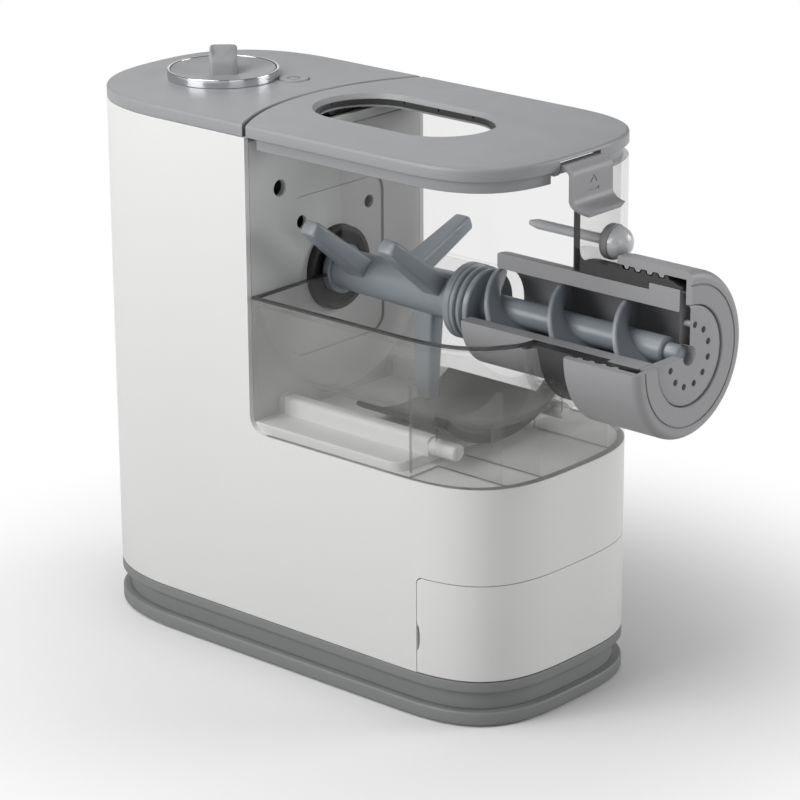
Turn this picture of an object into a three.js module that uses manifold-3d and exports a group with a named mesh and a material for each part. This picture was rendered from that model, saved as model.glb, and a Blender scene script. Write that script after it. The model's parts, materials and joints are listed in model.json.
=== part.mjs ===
// Electric pasta maker, built as a cutaway display machine: the quarter of the mixing chamber,
// extruder and nut that lies above the screw's axis on the near side is cut away.
// Millimetres, +Z up, +X towards the extruder. In the functions x = 0 is the tower's front face,
// y = 0 the middle plane and z = 0 the worktop. The last lines centre the machine on x.

import * as THREE from "three";
import { mergeVertices } from "three/addons/utils/BufferGeometryUtils.js";
import Module from "manifold-3d";

// Body outline in plan: flat sides, with a superellipse at each end
const bodyWidth = 129;
const bodyRear = -126.4;
const rearRoundStart = -54.2;
const frontRoundStart = 88.9;
const bodyFront = 152.9;
const rearPower = 2.58;
const frontPower = 3.18;

// Heights of the stacked housing parts
const ringBottom = 0.8;
const ringTop = 7.6;
const waistHeight = 10;
const bandHeight = 5.5;
const deckTop = 120.7;
const basinClear = 8.2;
const headRoom = 19.2;
const coverWallHeight = 3.4;
const coverPlate = 3;

// Walls and clearances
const shellWall = 2.8;
const seatGap = 0.3;
const runGap = 0.4;
const cutOverrun = 8;
const beyond = 400;

// Feet, base and screws
const foot = { radius: 6.5, pocket: 2.5, rearX: -76, frontX: 98, inset: 9 };
const footRingWidth = 18;
const tray = { inset: 4, wall: 2.5, floor: 2.5, post: 6.5 };
const baseScrew = { head: 3.4, headRoom: 3.8, headDepth: 1.7, shaft: 1.6, hole: 1.9, topGap: 4 };
const rail = { inset: 6, width: 4, rear: 25, front: 138, rise: 2.1 };

// Housing
const deck = { thick: 8, rear: -6, pocketRear: 3, pocketFront: 95, margin: 12.5, pocketDeep: 5 };
const ridge = { y: 27, width: 9, front: 75, rise: 4, peg: 4, pegFront: 84 };
const boss = { radius: 6.8, rise: 16.9, blind: 3 };
const spandrel = { radius: 9 };
const gland = { z: 45, bore: 3.4, neck: 5.2, flange: 9, flangeDeep: 2.4, flangeGap: 0.9, length: 7 };

// Tower face plate
const face = { thick: 3, seal: 21.5, panelHalf: 34.4, panelDrop: 40.1, panelRise: 41.5,
  panelCorner: 9, panelDeep: 1, pinY: 40.3, pinRise: 48.7, pinHole: 4, ventY: 24.5, ventRise: 28.2,
    ventHole: 3.3 };
const seal = { fit: 0.3, inner: 19, lip: 5.4, web: 1.4, rear: -4, front: 2.4 };

// Cover, lid and the seam between them
const seam = { bow: 19.1, width: 2 };
const cover = { wall: 3, arcWall: 2.5, arcDrop: 2.6, shelfDrop: 2.3, shelf: 2 };
const slot = { rear: -5.7, frontInset: 57.3, margin: 36.8, wall: 2.5, ledge: 2.5, ledgeThick: 1 };
const gasket = { width: 3, thick: 2.4 };
const skirt = { inset: 2.4, wall: 2, drop: 5.7, rear: 6 };
const hinge = { inner: 10, outer: 13.5, low: 16, high: 22, padRear: -12.6, padFront: -4.2, padThick: 2 };
const hingeSlot = { rear: -13.8, front: -5.7 };

// Lid latch
const latch = { inset: 2.3, rise: 0.7, barrel: 2.4, bore: 1.3, pin: 1, half: 17.2, stand: 5.7,
  thick: 3, bend: 5, reach: 18.2, lipReach: 7.9, lipDrop: 4.6, corner: 6, relief: 1.8 };
const ear = { width: 3.6, back: 2.6, ahead: 1.4, drop: 2.4, pinRun: 2.1 };

// Selector knob, start button and control board
const knob = { rearRoom: 50, radius: 28.2, rimRise: 4.5, trim: 1.4, dishRise: 1.7, floor: 1.2, hub: 4.6,
  hubDeep: 5 };
const grip = { width: 14, near: 5.5, far: 8, rise: 14.6, stepRise: 8.1, crest: -1.5, corner: 3,
  angle: 131.7 };
const shaft = { radius: 3, drop: 9.4, rise: 4.6 };
const timer = { side: 16, drop: 3.9 };
const button = { x: -45.4, y: 18.5, radius: 7.5, rise: 0.5, stem: 2.4, stemGap: 2, flange: 8.3,
  flangeThick: 2 };
const spring = { radius: 5.3, wire: 0.35, turns: 4, stepsPerTurn: 8, seat: 0.7 };
const startSwitch = { side: 6, height: 5.4 };
const board = { rearGap: 8.4, front: -35, margin: 34.5, drop: 13.9, thick: 1.6, post: 2.4, postInset: 3.5 };

// Drive
const gearSpacing = 33.75;
const motor = { radius: 30, wall: 2, rearRoom: 22.1, cap: 3.4, armature: 20, magnet: 27.6,
  slots: 8 };
const motorShaft = { radius: 2.5, rearRun: 14.2, front: -20, hole: 3.4 };
const fan = { radius: 26, back: 12.7, thick: 5, blades: 7, hub: 7, blade: 1.6, disc: 1.5 };
const fast = { small: 12, large: 42, rear: -28, front: -22 };
const slow = { small: 12, large: 33, rear: -20, front: -12 };
const fewTeeth = 20;
const tooth = { pressure: 20, addendumShare: 0.8, dedendumShare: 1.25, backlash: 0.35 };
const idler = { pin: 2.5, bore: 2.8, hub: 4.8 };
const output = { journal: 4, gearSeat: 5.6, front: 5, head: 7, headRear: -2, headFront: 13 };
const bearing = { outer: 9, frontOuter: 11, thick: 4.2, boss: 2.5 };
const gearbox = { rear: -34, wall: 2.5, half: 32, drop: 80.1, rise: 32, caseFront: -8.8, coverRear: -8.5,
  coverFront: -6, lugY: 37, lugDrop: 62.1, lugRise: 14.9, lug: 4.5, lugWeb: 3, hole: 2 };
const caseScrew = { head: 3.2, headDeep: 2.2, shaft: 1.7, front: -1.4 };

// Mixing chamber: skirt, basin, sleeve and thread
const chamber = { rear: 2.8, drop: 6, wall: 2.2, frontWall: 3.8, rearWall: 2, journal: 13 };
const basin = { margin: 5.3, wall: 2, nose: 48, frontInset: 4.9, throatStep: 1.6, flangeDrop: 3.1,
  flange: 2 };
const sleeve = { clear: 0.4, gap: 0.3, wideClear: 0.4, ahead: 1.5, flareRise: 4.9, flareRun: 3.1, nose: 8,
  noseTaper: 2.2 };
const thread = { wall: 3, height: 1.8, pitch: 6.85, ahead: 23.5, base: 3.4, tip: 2.2, turns: 4 };
const rib = { rear: 101.3, thick: 1.6, drop: 24.1, nearY: -42.1, midY: -21.6, farY: 30.7 };
const catchNub = { reach: 2.3, rise: 2, height: 4, half: 8 };
const fixing = { y: 18.5, rise: 38.9, rear: 108, shank: 2.5, hole: 2.9, ring: 8.6, ringAhead: 3.1,
  ringDeep: 4,
  dome: 8, domeDeep: 8 };

// Paddle, screw, tube, disc and nut
const paddle = { hub: 10, hubEnd: 12, rear: 1, front: 88, journal: 12.5, journalFront: 5.5, collarStep: 0.3,
  collarRear: 84, tipClear: 4.7, socket: 7.4, square: 9, squareDeep: 12, tipWide: 9.5, tipThick: 7.6,
  rootWide: 12.5, rootThick: 10.5 };
const arms = [{ x: 70.7, turn: 52 }, { x: 60.2, turn: 178 }, { x: 40, turn: -68 }, { x: 21, turn: 52 }];
const worm = { collarFront: 98.5, core: 6.5, flightClear: 0.7, pitch: 38.2, phaseX: 113, rear: 99, back: 6,
  root: 4, tip: 2.8, pin: 4.2, pinAhead: 2.3 };
const tube = { rear: 103, wall: 7.4, radius: 27, nose: 17.7, wide: 30.2, noseAhead: 34.6 };
const disc = { flangeInset: 0.7, thick: 3, boss: 23.6, recess: 0.7, centre: 4.7, hole: 1.6, circle: 14.5,
  holes: 12 };
const nut = { shell: 4, back: 1.5, wall: 3.3, fillet: 4, openingClear: 0.5, clear: 0.3, crestClear: 0.5,
  ridgeBase: 4, ridgeTip: 2.6, ridgeTurns: 3.5, seat: 3.6, groove: 33.4, grooveWide: 1, grooveDeep: 0.8 };
const saddle = { gap: 0.4, outerStep: 5.8, rear: 22, front: 118, spread: 30, legRear: 36, legFront: 84,
  legHalf: 9 };

// Drawer and spare discs
const drawer = { seam: 107.2, top: 72.6, front: 2.8, rise: 2.4, thick: 2.5, margin: 18.5, rear: 28,
  wallDrop: 6.6,
  notchFront: 109.4, notchLow: 35, notchHigh: 48.4 };
const spare = { radius: 29, thick: 6, rearX: 60, frontX: 120 };

// Places and radii that follow from the sizes above
const basinInner = bodyWidth / 2 - basin.margin;
const axisHeight = deckTop + basin.wall + basinInner + basinClear;
const towerTop = axisHeight + basinInner + headRoom;
const plateBottom = towerTop + coverWallHeight;
const coverTop = plateBottom + coverPlate;
const footY = bodyWidth / 2 - foot.inset;
const pocketHalf = bodyWidth / 2 - deck.margin;
const drawerHalf = bodyWidth / 2 - drawer.margin;
const railY = drawerHalf - rail.inset;
const slotHalf = bodyWidth / 2 - slot.margin;
const panelBottom = axisHeight - face.panelDrop;
const panelTop = axisHeight + face.panelRise;
const pinHeight = axisHeight + face.pinRise;
const ventHeight = axisHeight + face.ventRise;
const gearboxBottom = axisHeight - gearbox.drop;
const gearboxTop = axisHeight + gearbox.rise;
const canFront = gearbox.rear - seatGap;
const canRear = bodyRear + motor.rearRoom;
const canLength = canFront - canRear;
const motorShaftRear = canRear - motorShaft.rearRun;
const fanRear = canRear - fan.back;
const lugLow = axisHeight - gearbox.lugDrop;
const lugHigh = axisHeight + gearbox.lugRise;
const basinFlangeTop = axisHeight - basin.flangeDrop;
const ribTop = axisHeight - rib.drop;
const fixingHeight = axisHeight + fixing.rise;
const chamberTop = towerTop - chamber.drop;
const arcBottom = towerTop - cover.arcDrop;
const shelfBottom = towerTop - cover.shelfDrop;
const shelfTop = shelfBottom + cover.shelf;
const skirtBottom = towerTop - skirt.drop;
const latchHeight = towerTop + latch.rise;
const latchBottom = latchHeight - latch.reach;
const earBottom = latchHeight - ear.drop;
const nubBottom = latchBottom + catchNub.rise;
const nubTop = nubBottom + catchNub.height;
const boardRear = bodyRear + board.rearGap;
const boardHalf = bodyWidth / 2 - board.margin;
const knobX = bodyRear + knob.rearRoom;
const knobRim = coverTop + knob.rimRise;
const knobDish = coverTop + knob.dishRise;
const gripTop = coverTop + grip.rise;
const gripStep = coverTop + grip.stepRise;
const shaftTop = coverTop + shaft.rise;
const shaftBottom = plateBottom - shaft.drop;
const boardBottom = plateBottom - board.drop;
const timerTop = plateBottom - timer.drop;
const startSwitchTop = boardBottom + board.thick + startSwitch.height;
const stemBottom = startSwitchTop + button.stemGap;
const springBottom = boardBottom + board.thick + spring.seat;
const waistTop = ringTop + waistHeight;
const bandTop = waistTop + bandHeight;
const bossTop = bandTop + boss.rise;
const screwTop = bossTop - baseScrew.topGap;
const railTop = bandTop + rail.rise;
const drawerFloor = bandTop + drawer.rise;
const drawerWallTop = drawer.top - drawer.wallDrop;
const basinFront = bodyFront - basin.frontInset;
const basinStraight = basinFront - basin.nose;
const latchX = bodyFront - latch.inset;
const latchFront = bodyFront + latch.stand;
const earRear = latchX - ear.back;
const earFront = latchX + ear.ahead;
const nubFront = bodyFront + catchNub.reach;
const threadStart = bodyFront + thread.ahead;
const nutRear = threadStart - nut.back;
const tubeFront = threadStart + tube.noseAhead;
const tubeStep = tubeFront - tube.nose;
const sleeveFront = tubeFront + sleeve.ahead;
const sleeveNose = sleeveFront - sleeve.nose;
const sleeveStep = tubeStep - sleeve.gap;
const nutWallRear = tubeFront + nut.seat;
const nutFront = nutWallRear + nut.wall;
const discFront = nutFront - disc.recess;
const wormFront = tubeFront - worm.back;
const pinFront = tubeFront + worm.pinAhead;
const fixingRingRear = bodyFront + fixing.ringAhead;
const fixingRingFront = fixingRingRear + fixing.ringDeep;
const fixingFront = fixingRingFront + fixing.domeDeep;
const slotFront = bodyFront - slot.frontInset;
const sleeveInner = tube.radius + sleeve.clear;
const throat = sleeveInner + basin.throatStep;
const sleeveWide = tube.wide + sleeve.wideClear;
const threadRoot = sleeveWide + thread.wall;
const threadCrest = threadRoot + thread.height;
const noseRadius = threadRoot - sleeve.noseTaper;
const nutBore = threadCrest + nut.clear;
const nutCrest = threadRoot + nut.crestClear;
const nutRadius = nutBore + nut.shell;
const discFlange = tube.wide - disc.flangeInset;
const nutOpening = disc.boss + nut.openingClear;
const paddleReach = basinInner - paddle.tipClear;
const saddleOuter = basinInner + saddle.outerStep;
const tubeBore = tube.radius - tube.wall;
const wormFlight = tubeBore - worm.flightClear;
const paddleCollar = wormFlight - paddle.collarStep;
const sealOuter = face.seal - seal.fit;

// Fineness of round forms
const endSteps = 8;
const bigSides = 32;
const midSides = 12;
const motorSides = 20;
const smallSides = 8;
const threadSteps = 24;
const flightSteps = 16;
const leadShare = 0.11;
const filletSteps = 4;
const cornerSteps = 3;
const wireSteps = 2;
const hexSides = 6;

const wasm = await Module();
wasm.setup();

// Solids and booleans
const weldDistance = bodyWidth * 1e-6;

function solidOf(geometry) {
  const bare = geometry.index ? geometry.toNonIndexed() : geometry.clone();
  bare.deleteAttribute("normal");
  bare.deleteAttribute("uv");
  const merged = mergeVertices(bare, weldDistance);
  const corners = [];
  for (let i = 0; i < merged.index.count; i += 3) {
    const [a, b, c] = [merged.index.getX(i), merged.index.getX(i + 1), merged.index.getX(i + 2)];
    if (a !== b && b !== c && c !== a) corners.push(a, b, c);
  }
  const vertProperties = new Float32Array(merged.attributes.position.array);
  return new wasm.Manifold(new wasm.Mesh({ numProp: 3, vertProperties,
    triVerts: new Uint32Array(corners) }));
}

function geometryOf(solid) {
  const mesh = solid.getMesh();
  const geometry = new THREE.BufferGeometry();
  geometry.setAttribute("position", new THREE.BufferAttribute(new Float32Array(mesh.vertProperties), 3));
  geometry.setIndex(new THREE.BufferAttribute(new Uint32Array(mesh.triVerts), 1));
  geometry.computeVertexNormals();
  return geometry;
}

function join(...solids) {
  return solids.reduce((whole, next) => whole.add(next));
}

function cut(solid, ...tools) {
  return tools.reduce((whole, next) => whole.subtract(next), solid);
}

function common(first, second) {
  return first.intersect(second);
}

// Plan outlines
function endArc(start, reach, halfWidth, power, direction) {
  const points = [];
  for (let step = -endSteps; step <= endSteps; step += 1) {
    const angle = (step / endSteps) * (Math.PI / 2);
    const along = Math.abs(Math.cos(angle)) ** (2 / power);
    const across = Math.sign(angle) * Math.abs(Math.sin(angle)) ** (2 / power);
    points.push(new THREE.Vector2(start + direction * reach * along, direction * halfWidth * across));
  }
  return points;
}

function bodyOutline(inset, frontInset = inset) {
  const half = bodyWidth / 2 - inset;
  const front = endArc(frontRoundStart, bodyFront - frontInset - frontRoundStart, half, frontPower, 1);
  const rear = endArc(rearRoundStart, rearRoundStart - bodyRear - inset, half, rearPower, -1);
  return front.concat(rear);
}

function stadiumOutline(rear, front, half) {
  const shape = new THREE.Shape();
  shape.absarc(front - half, 0, half, -Math.PI / 2, Math.PI / 2, false);
  shape.absarc(rear + half, 0, half, Math.PI / 2, (3 * Math.PI) / 2, false);
  return shape.getPoints(endSteps);
}

function roundedOutline(x0, x1, y0, y1, radius) {
  const shape = new THREE.Shape();
  shape.absarc(x1 - radius, y0 + radius, radius, -Math.PI / 2, 0, false);
  shape.absarc(x1 - radius, y1 - radius, radius, 0, Math.PI / 2, false);
  shape.absarc(x0 + radius, y1 - radius, radius, Math.PI / 2, Math.PI, false);
  shape.absarc(x0 + radius, y0 + radius, radius, Math.PI, (3 * Math.PI) / 2, false);
  return shape.getPoints(cornerSteps);
}

// Simple solids
function extruded(points, depth) {
  return new THREE.ExtrudeGeometry(new THREE.Shape(points), { depth, bevelEnabled: false });
}

function prism(points, z0, z1) {
  return solidOf(extruded(points, z1 - z0).translate(0, 0, z0));
}

// Outline in y and z, extruded along X
function prismX(points, x0, x1) {
  const turn = new THREE.Matrix4();
  turn.makeBasis(new THREE.Vector3(0, 1, 0), new THREE.Vector3(0, 0, 1), new THREE.Vector3(1, 0, 0));
  return solidOf(extruded(points, x1 - x0).applyMatrix4(turn).translate(x0, 0, 0));
}

// Outline in x and z, extruded along Y
function prismY(points, y0, y1) {
  return solidOf(extruded(points, y1 - y0).rotateX(Math.PI / 2).translate(0, y1, 0));
}

function slice(inset, z0, z1, frontInset = inset) {
  return prism(bodyOutline(inset, frontInset), z0, z1);
}

function ringSlice(outerInset, innerInset, z0, z1) {
  return cut(slice(outerInset, z0, z1), slice(innerInset, z0 - cutOverrun, z1 + cutOverrun));
}

function box(x0, x1, y0, y1, z0, z1) {
  const geometry = new THREE.BoxGeometry(x1 - x0, y1 - y0, z1 - z0);
  return solidOf(geometry.translate((x0 + x1) / 2, (y0 + y1) / 2, (z0 + z1) / 2));
}

// Turned solids: pairs of distance along the axis and radius, closed to the axis at both ends
function lathe(profile, sides) {
  const points = profile.map(([along, radius]) => new THREE.Vector2(radius, along));
  points.unshift(new THREE.Vector2(0, profile[0][0]));
  points.push(new THREE.Vector2(0, profile[profile.length - 1][0]));
  return new THREE.LatheGeometry(points, sides);
}

function turnedX(profile, y, z, sides = bigSides) {
  return solidOf(lathe(profile, sides).rotateZ(-Math.PI / 2).translate(0, y, z));
}

function rodX(radius, x0, x1, y, z, sides = bigSides) {
  return turnedX([[x0, radius], [x1, radius]], y, z, sides);
}

function turnedZ(profile, x, y, sides = midSides) {
  return solidOf(lathe(profile, sides).rotateX(Math.PI / 2).translate(x, y, 0));
}

function rodZ(radius, z0, z1, x, y, sides = midSides) {
  return turnedZ([[z0, radius], [z1, radius]], x, y, sides);
}

function rodY(radius, y0, y1, x, z, sides = midSides) {
  return solidOf(lathe([[y0, radius], [y1, radius]], sides).translate(x, 0, z));
}

// Half spaces and the cut-away quarter
const aheadOf = (x) => box(x, beyond, -beyond, beyond, -beyond, beyond);
const behind = (x) => box(-beyond, x, -beyond, beyond, -beyond, beyond);
const above = (z) => box(-beyond, beyond, -beyond, beyond, z, z + beyond);
const cutQuarter = () => box(-beyond, beyond, -beyond, 0, axisHeight, axisHeight + beyond);

// Sides of the seam between cover and lid
function seamDisc(offset) {
  const half = bodyWidth / 2;
  const radius = (half * half + seam.bow * seam.bow) / (2 * seam.bow);
  const centre = radius - seam.bow;
  const arc = rodZ(radius + offset, -beyond, beyond, centre, 0, 2 * bigSides);
  return join(arc, aheadOf(centre));
}

const footPlaces = [[foot.rearX, -footY], [foot.rearX, footY], [foot.frontX, -footY], [foot.frontX, footY]];
const footTop = ringBottom + foot.pocket - seatGap;
const headBottom = footTop + 2 * seatGap;
const headTop = headBottom + baseScrew.headDepth;

// Base
function rubberFoot([x, y]) {
  const edge = foot.radius / 6;
  return turnedZ([[0, foot.radius - edge], [edge, foot.radius], [footTop, foot.radius]], x, y);
}

function footRing() {
  const wells = footPlaces.map(([x, y]) => join(
    rodZ(foot.radius + seatGap, -cutOverrun, footTop + seatGap, x, y),
    rodZ(baseScrew.headRoom, 0, headTop + seatGap, x, y),
    rodZ(baseScrew.hole, 0, ringTop + cutOverrun, x, y, smallSides)));
  return cut(ringSlice(0, footRingWidth, ringBottom, ringTop), ...wells);
}

function baseScrewAt([x, y]) {
  const head = rodZ(baseScrew.head, headBottom, headTop, x, y);
  return join(head, rodZ(baseScrew.shaft, headBottom, screwTop, x, y, smallSides));
}

function baseTray() {
  const bottom = ringTop + seatGap;
  const inner = tray.inset + tray.wall;
  const floor = slice(tray.inset, bottom, bottom + tray.floor);
  const wall = ringSlice(tray.inset, inner, bottom, waistTop);
  const band = ringSlice(0, inner, waistTop, bandTop);
  const posts = footPlaces.map(([x, y]) => common(rodZ(tray.post, bottom, bandTop, x, y),
    slice(tray.inset, 0, bandTop)));
  const rails = [-railY, railY].map((y) => box(rail.rear, rail.front, y - rail.width / 2,
    y + rail.width / 2,
    bottom, railTop));
  const holes = footPlaces.map(([x, y]) => rodZ(baseScrew.hole, 0, bandTop + cutOverrun, x, y, smallSides));
  return cut(join(floor, wall, band, ...posts, ...rails), ...holes);
}

// Housing with the deck under the chamber
function deckPocket() {
  return box(deck.pocketRear, deck.pocketFront, -pocketHalf, pocketHalf, deckTop - deck.pocketDeep,
    deckTop + cutOverrun);
}

function deckRidge(y) {
  const bottom = deckTop - deck.pocketDeep - seatGap;
  const half = ridge.width / 2;
  const rear = chamber.rear + chamber.rearWall + runGap;
  const top = deckTop + ridge.rise;
  const bar = box(rear, ridge.front, y - half, y + half, bottom, top - half);
  const crown = common(rodX(half, rear, ridge.front, y, top - half, midSides), above(bottom));
  const peg = rodX(ridge.peg, ridge.front - ridge.peg, ridge.pegFront, y, top - half, midSides);
  return join(bar, crown, peg);
}

function sideSpandrel() {
  const size = spandrel.radius;
  const block = common(ringSlice(0, shellWall, deckTop - size, deckTop + size),
    box(-size, size, -beyond, beyond,
    deckTop - size / 2, deckTop + size));
  return cut(block, rodY(size, -bodyWidth, bodyWidth, size, deckTop + size));
}

function housingShell() {
  const bottom = bandTop + seatGap;
  const lower = ringSlice(0, shellWall, bottom, deckTop);
  const upper = common(ringSlice(0, shellWall, bottom, towerTop), behind(0));
  const floor = common(slice(0, deckTop - deck.thick, deckTop), aheadOf(deck.rear));
  const bosses = footPlaces.map(([x, y]) => common(rodZ(boss.radius, bottom, bossTop, x, y),
    slice(0, 0, bossTop)));
  const holes = footPlaces.map(([x, y]) => rodZ(baseScrew.hole, 0, bossTop - boss.blind, x, y, smallSides));
  const bay = box(drawer.seam, beyond, -beyond, beyond, -beyond, drawer.top);
  const cordHole = rodX(gland.neck + seatGap, bodyRear - cutOverrun, bodyRear + cutOverrun, 0, gland.z,
    midSides);
  const shell = cut(join(lower, upper, floor, sideSpandrel(), ...bosses), deckPocket(), bay, cordHole,
    ...holes);
  return join(shell, deckRidge(-ridge.y), deckRidge(ridge.y));
}

function cordGland() {
  const inner = bodyRear + shellWall + gland.flangeGap;
  const body = turnedX([[bodyRear + seatGap, gland.neck], [inner, gland.neck], [inner, gland.flange],
    [inner + gland.flangeDeep, gland.flange], [inner + gland.flangeDeep, gland.neck],
    [inner + gland.length, gland.neck]], 0, gland.z, midSides);
  return cut(body, rodX(gland.bore, bodyRear - cutOverrun, inner + 2 * gland.length, 0, gland.z,
    smallSides));
}

// Tower face
function backPlate() {
  const half = bodyWidth / 2 - shellWall - seatGap;
  const plate = box(-face.thick, 0, -half, half, deckTop + seatGap, shelfBottom - seatGap);
  const panel = prismX(roundedOutline(-face.panelHalf, face.panelHalf, panelBottom, panelTop,
    face.panelCorner), -face.panelDeep, cutOverrun);
  const through = (radius, y, z) => rodX(radius, -cutOverrun, cutOverrun, y, z, midSides);
  const screwHoles = lugPlaces.map(([y, z]) => rodX(gearbox.hole, -face.thick - cutOverrun,
    caseScrew.front + seatGap, y, z, smallSides));
  return cut(plate, panel, rodX(face.seal, -cutOverrun, cutOverrun, 0, axisHeight),
    through(face.pinHole, -face.pinY, pinHeight), through(face.pinHole, face.pinY, pinHeight),
    through(face.ventHole, -face.ventY, ventHeight), through(face.ventHole, face.ventY, ventHeight),
      ...screwHoles);
}

function driveSeal() {
  const solid = rodX(sealOuter, seal.rear, seal.front, 0, axisHeight);
  const mouth = rodX(seal.inner, seal.rear + seal.web, seal.front + cutOverrun, 0, axisHeight);
  return cut(solid, mouth, rodX(seal.lip, seal.rear - cutOverrun, seal.front, 0, axisHeight, midSides));
}

// Top cover
const boardInset = boardHalf - board.postInset;
const boardPlaces = [boardRear + board.postInset, board.front - board.postInset]
  .flatMap((x) => [[x, -boardInset], [x, boardInset]]);

function hingeSlotCut(side) {
  const low = side * (hinge.low - runGap);
  const high = side * (hinge.high + runGap);
  return box(hingeSlot.rear, hingeSlot.front, Math.min(low, high), Math.max(low, high),
    arcBottom - runGap, shelfTop + runGap);
}

function topCover() {
  const inner = shellWall + seatGap;
  const edge = seam.width / 2;
  const plate = slice(0, plateBottom, coverTop);
  const wall = ringSlice(0, cover.wall, towerTop + seatGap, plateBottom + seatGap);
  const arcWall = common(slice(inner, arcBottom, plateBottom + seatGap), seamDisc(edge + cover.arcWall));
  const outer = cut(join(plate, wall, arcWall), seamDisc(edge));
  const shelf = common(slice(inner, shelfBottom, shelfTop), behind(0));
  const shelfEnd = common(shelf, seamDisc(edge + cover.arcWall));
  const posts = boardPlaces.map(([x, y]) => rodZ(board.post, boardBottom + board.thick + seatGap,
    plateBottom + seatGap, x, y, smallSides));
  const hubHole = rodZ(knob.hub + runGap, plateBottom - cutOverrun, coverTop + cutOverrun, knobX, 0);
  const buttonHole = rodZ(button.radius + seatGap, plateBottom - cutOverrun, coverTop + cutOverrun,
    button.x, button.y);
  return cut(join(outer, shelfEnd, ...posts), hubHole, buttonHole, hingeSlotCut(-1), hingeSlotCut(1));
}

// Selector knob with its switch on the control board
function controlBoard() {
  return box(boardRear, board.front, -boardHalf, boardHalf, boardBottom, boardBottom + board.thick);
}

const boardTop = boardBottom + board.thick + seatGap;

function timerSwitch() {
  const half = timer.side / 2;
  const body = box(knobX - half, knobX + half, -half, half, boardTop, timerTop);
  return cut(body, rodZ(shaft.radius + seatGap, shaftBottom - seatGap, timerTop + cutOverrun, knobX, 0));
}

function selectorShaft() {
  return rodZ(shaft.radius, shaftBottom, shaftTop, knobX, 0);
}

function gripBlock() {
  const half = grip.width / 2;
  const length = grip.near + grip.far;
  const bottom = knobDish - knob.floor / 2;
  const bar = solidOf(extruded(roundedOutline(-grip.near, grip.far, -half, half, grip.corner),
    gripTop - bottom)
    .translate(0, 0, bottom));
  const slope = prismY([
    new THREE.Vector2(-length, gripStep - (gripTop - gripStep)),
    new THREE.Vector2(-grip.near, gripStep),
    new THREE.Vector2(grip.crest, gripTop),
    new THREE.Vector2(grip.crest, gripTop + length),
    new THREE.Vector2(-length, gripTop + length)], -length, length);
  const angle = grip.angle;
  return cut(bar, slope).rotate([0, 0, angle]).translate([knobX, 0, 0]);
}

function knobDial() {
  const underside = coverTop + seatGap;
  const rim = knob.radius - knob.trim - seatGap;
  const dish = turnedZ([[underside - knob.hubDeep, knob.hub], [underside, knob.hub], [underside, rim],
    [knobRim - seatGap, rim], [knobRim - seatGap, rim - knob.floor], [knobDish + knob.floor, rim * 2 / 3],
    [knobDish, rim / 3]], knobX, 0, bigSides);
  const socket = rodZ(shaft.radius + seatGap, underside - knob.hubDeep - cutOverrun, shaftTop + seatGap,
    knobX, 0);
  return cut(join(dish, gripBlock()), socket);
}

function knobTrimRing() {
  const bottom = coverTop + seatGap;
  return cut(rodZ(knob.radius, bottom, knobRim, knobX, 0, bigSides),
    rodZ(knob.radius - knob.trim, bottom - cutOverrun, knobRim + cutOverrun, knobX, 0, bigSides));
}

// Start button, sprung above its switch
const flangeTop = plateBottom - runGap;
const flangeBottom = flangeTop - button.flangeThick;

function startButton() {
  return turnedZ([[stemBottom, button.stem], [flangeBottom, button.stem], [flangeBottom, button.flange],
    [flangeTop, button.flange], [flangeTop, button.radius], [coverTop + button.rise, button.radius]],
    button.x, button.y);
}

class Helix extends THREE.Curve {
  getPoint(share) {
    const angle = share * spring.turns * 2 * Math.PI;
    const rise = (flangeBottom - 2 * spring.wire - springBottom) * share;
    return new THREE.Vector3(button.x + spring.radius * Math.cos(angle),
      button.y + spring.radius * Math.sin(angle), springBottom + rise);
  }
}

function buttonSpring() {
  const section = new THREE.Shape();
  section.absarc(0, 0, spring.wire, 0, 2 * Math.PI, false);
  const steps = spring.turns * spring.stepsPerTurn;
  return solidOf(new THREE.ExtrudeGeometry(new THREE.Shape(section.getPoints(wireSteps).slice(0, -1)),
    { steps, extrudePath: new Helix(), bevelEnabled: false }));
}

function startSwitchBody() {
  const half = startSwitch.side / 2;
  return box(button.x - half, button.x + half, button.y - half, button.y + half, boardTop, startSwitchTop);
}

// Gears with involute flanks: outline in y and z with one tooth at the given angle
function gearOutline(gearModule, teeth, toothAngle) {
  const pitchRadius = gearModule * teeth / 2;
  const pressure = THREE.MathUtils.degToRad(tooth.pressure);
  const baseRadius = pitchRadius * Math.cos(pressure);
  const involute = (angle) => Math.tan(angle) - angle;
  const halfPitch = Math.PI / (2 * teeth) - tooth.backlash / (4 * pitchRadius);
  const halfAt = (radius) => {
    const reach = Math.max(radius, baseRadius);
    return halfPitch + involute(pressure) - involute(Math.acos(baseRadius / reach));
  };
  const root = pitchRadius - gearModule * tooth.dedendumShare;
  const tip = pitchRadius + gearModule * tooth.addendumShare;
  const points = [];
  for (let index = 0; index < teeth; index += 1) {
    const middle = toothAngle + (index / teeth) * 2 * Math.PI;
    const flank = teeth > fewTeeth ? [root, tip] : [root, pitchRadius, tip];
    flank.forEach((radius) => points.push([radius, middle - halfAt(radius)]));
    flank.reverse().forEach((radius) => points.push([radius, middle + halfAt(radius)]));
  }
  return points.map(([radius, angle]) => new THREE.Vector2(radius * Math.cos(angle),
    radius * Math.sin(angle)));
}

function gear(pair, teeth, toothAngle, z) {
  const gearModule = 2 * gearSpacing / (pair.small + pair.large);
  const outline = gearOutline(gearModule, teeth, toothAngle);
  return prismX(outline, pair.rear, pair.front).translate([0, 0, z]);
}

const up = Math.PI / 2;
const gapDown = (teeth) => -Math.PI / 2 + Math.PI / teeth;
const idlerHeight = axisHeight - gearSpacing;
const motorHeight = idlerHeight - gearSpacing;

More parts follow.
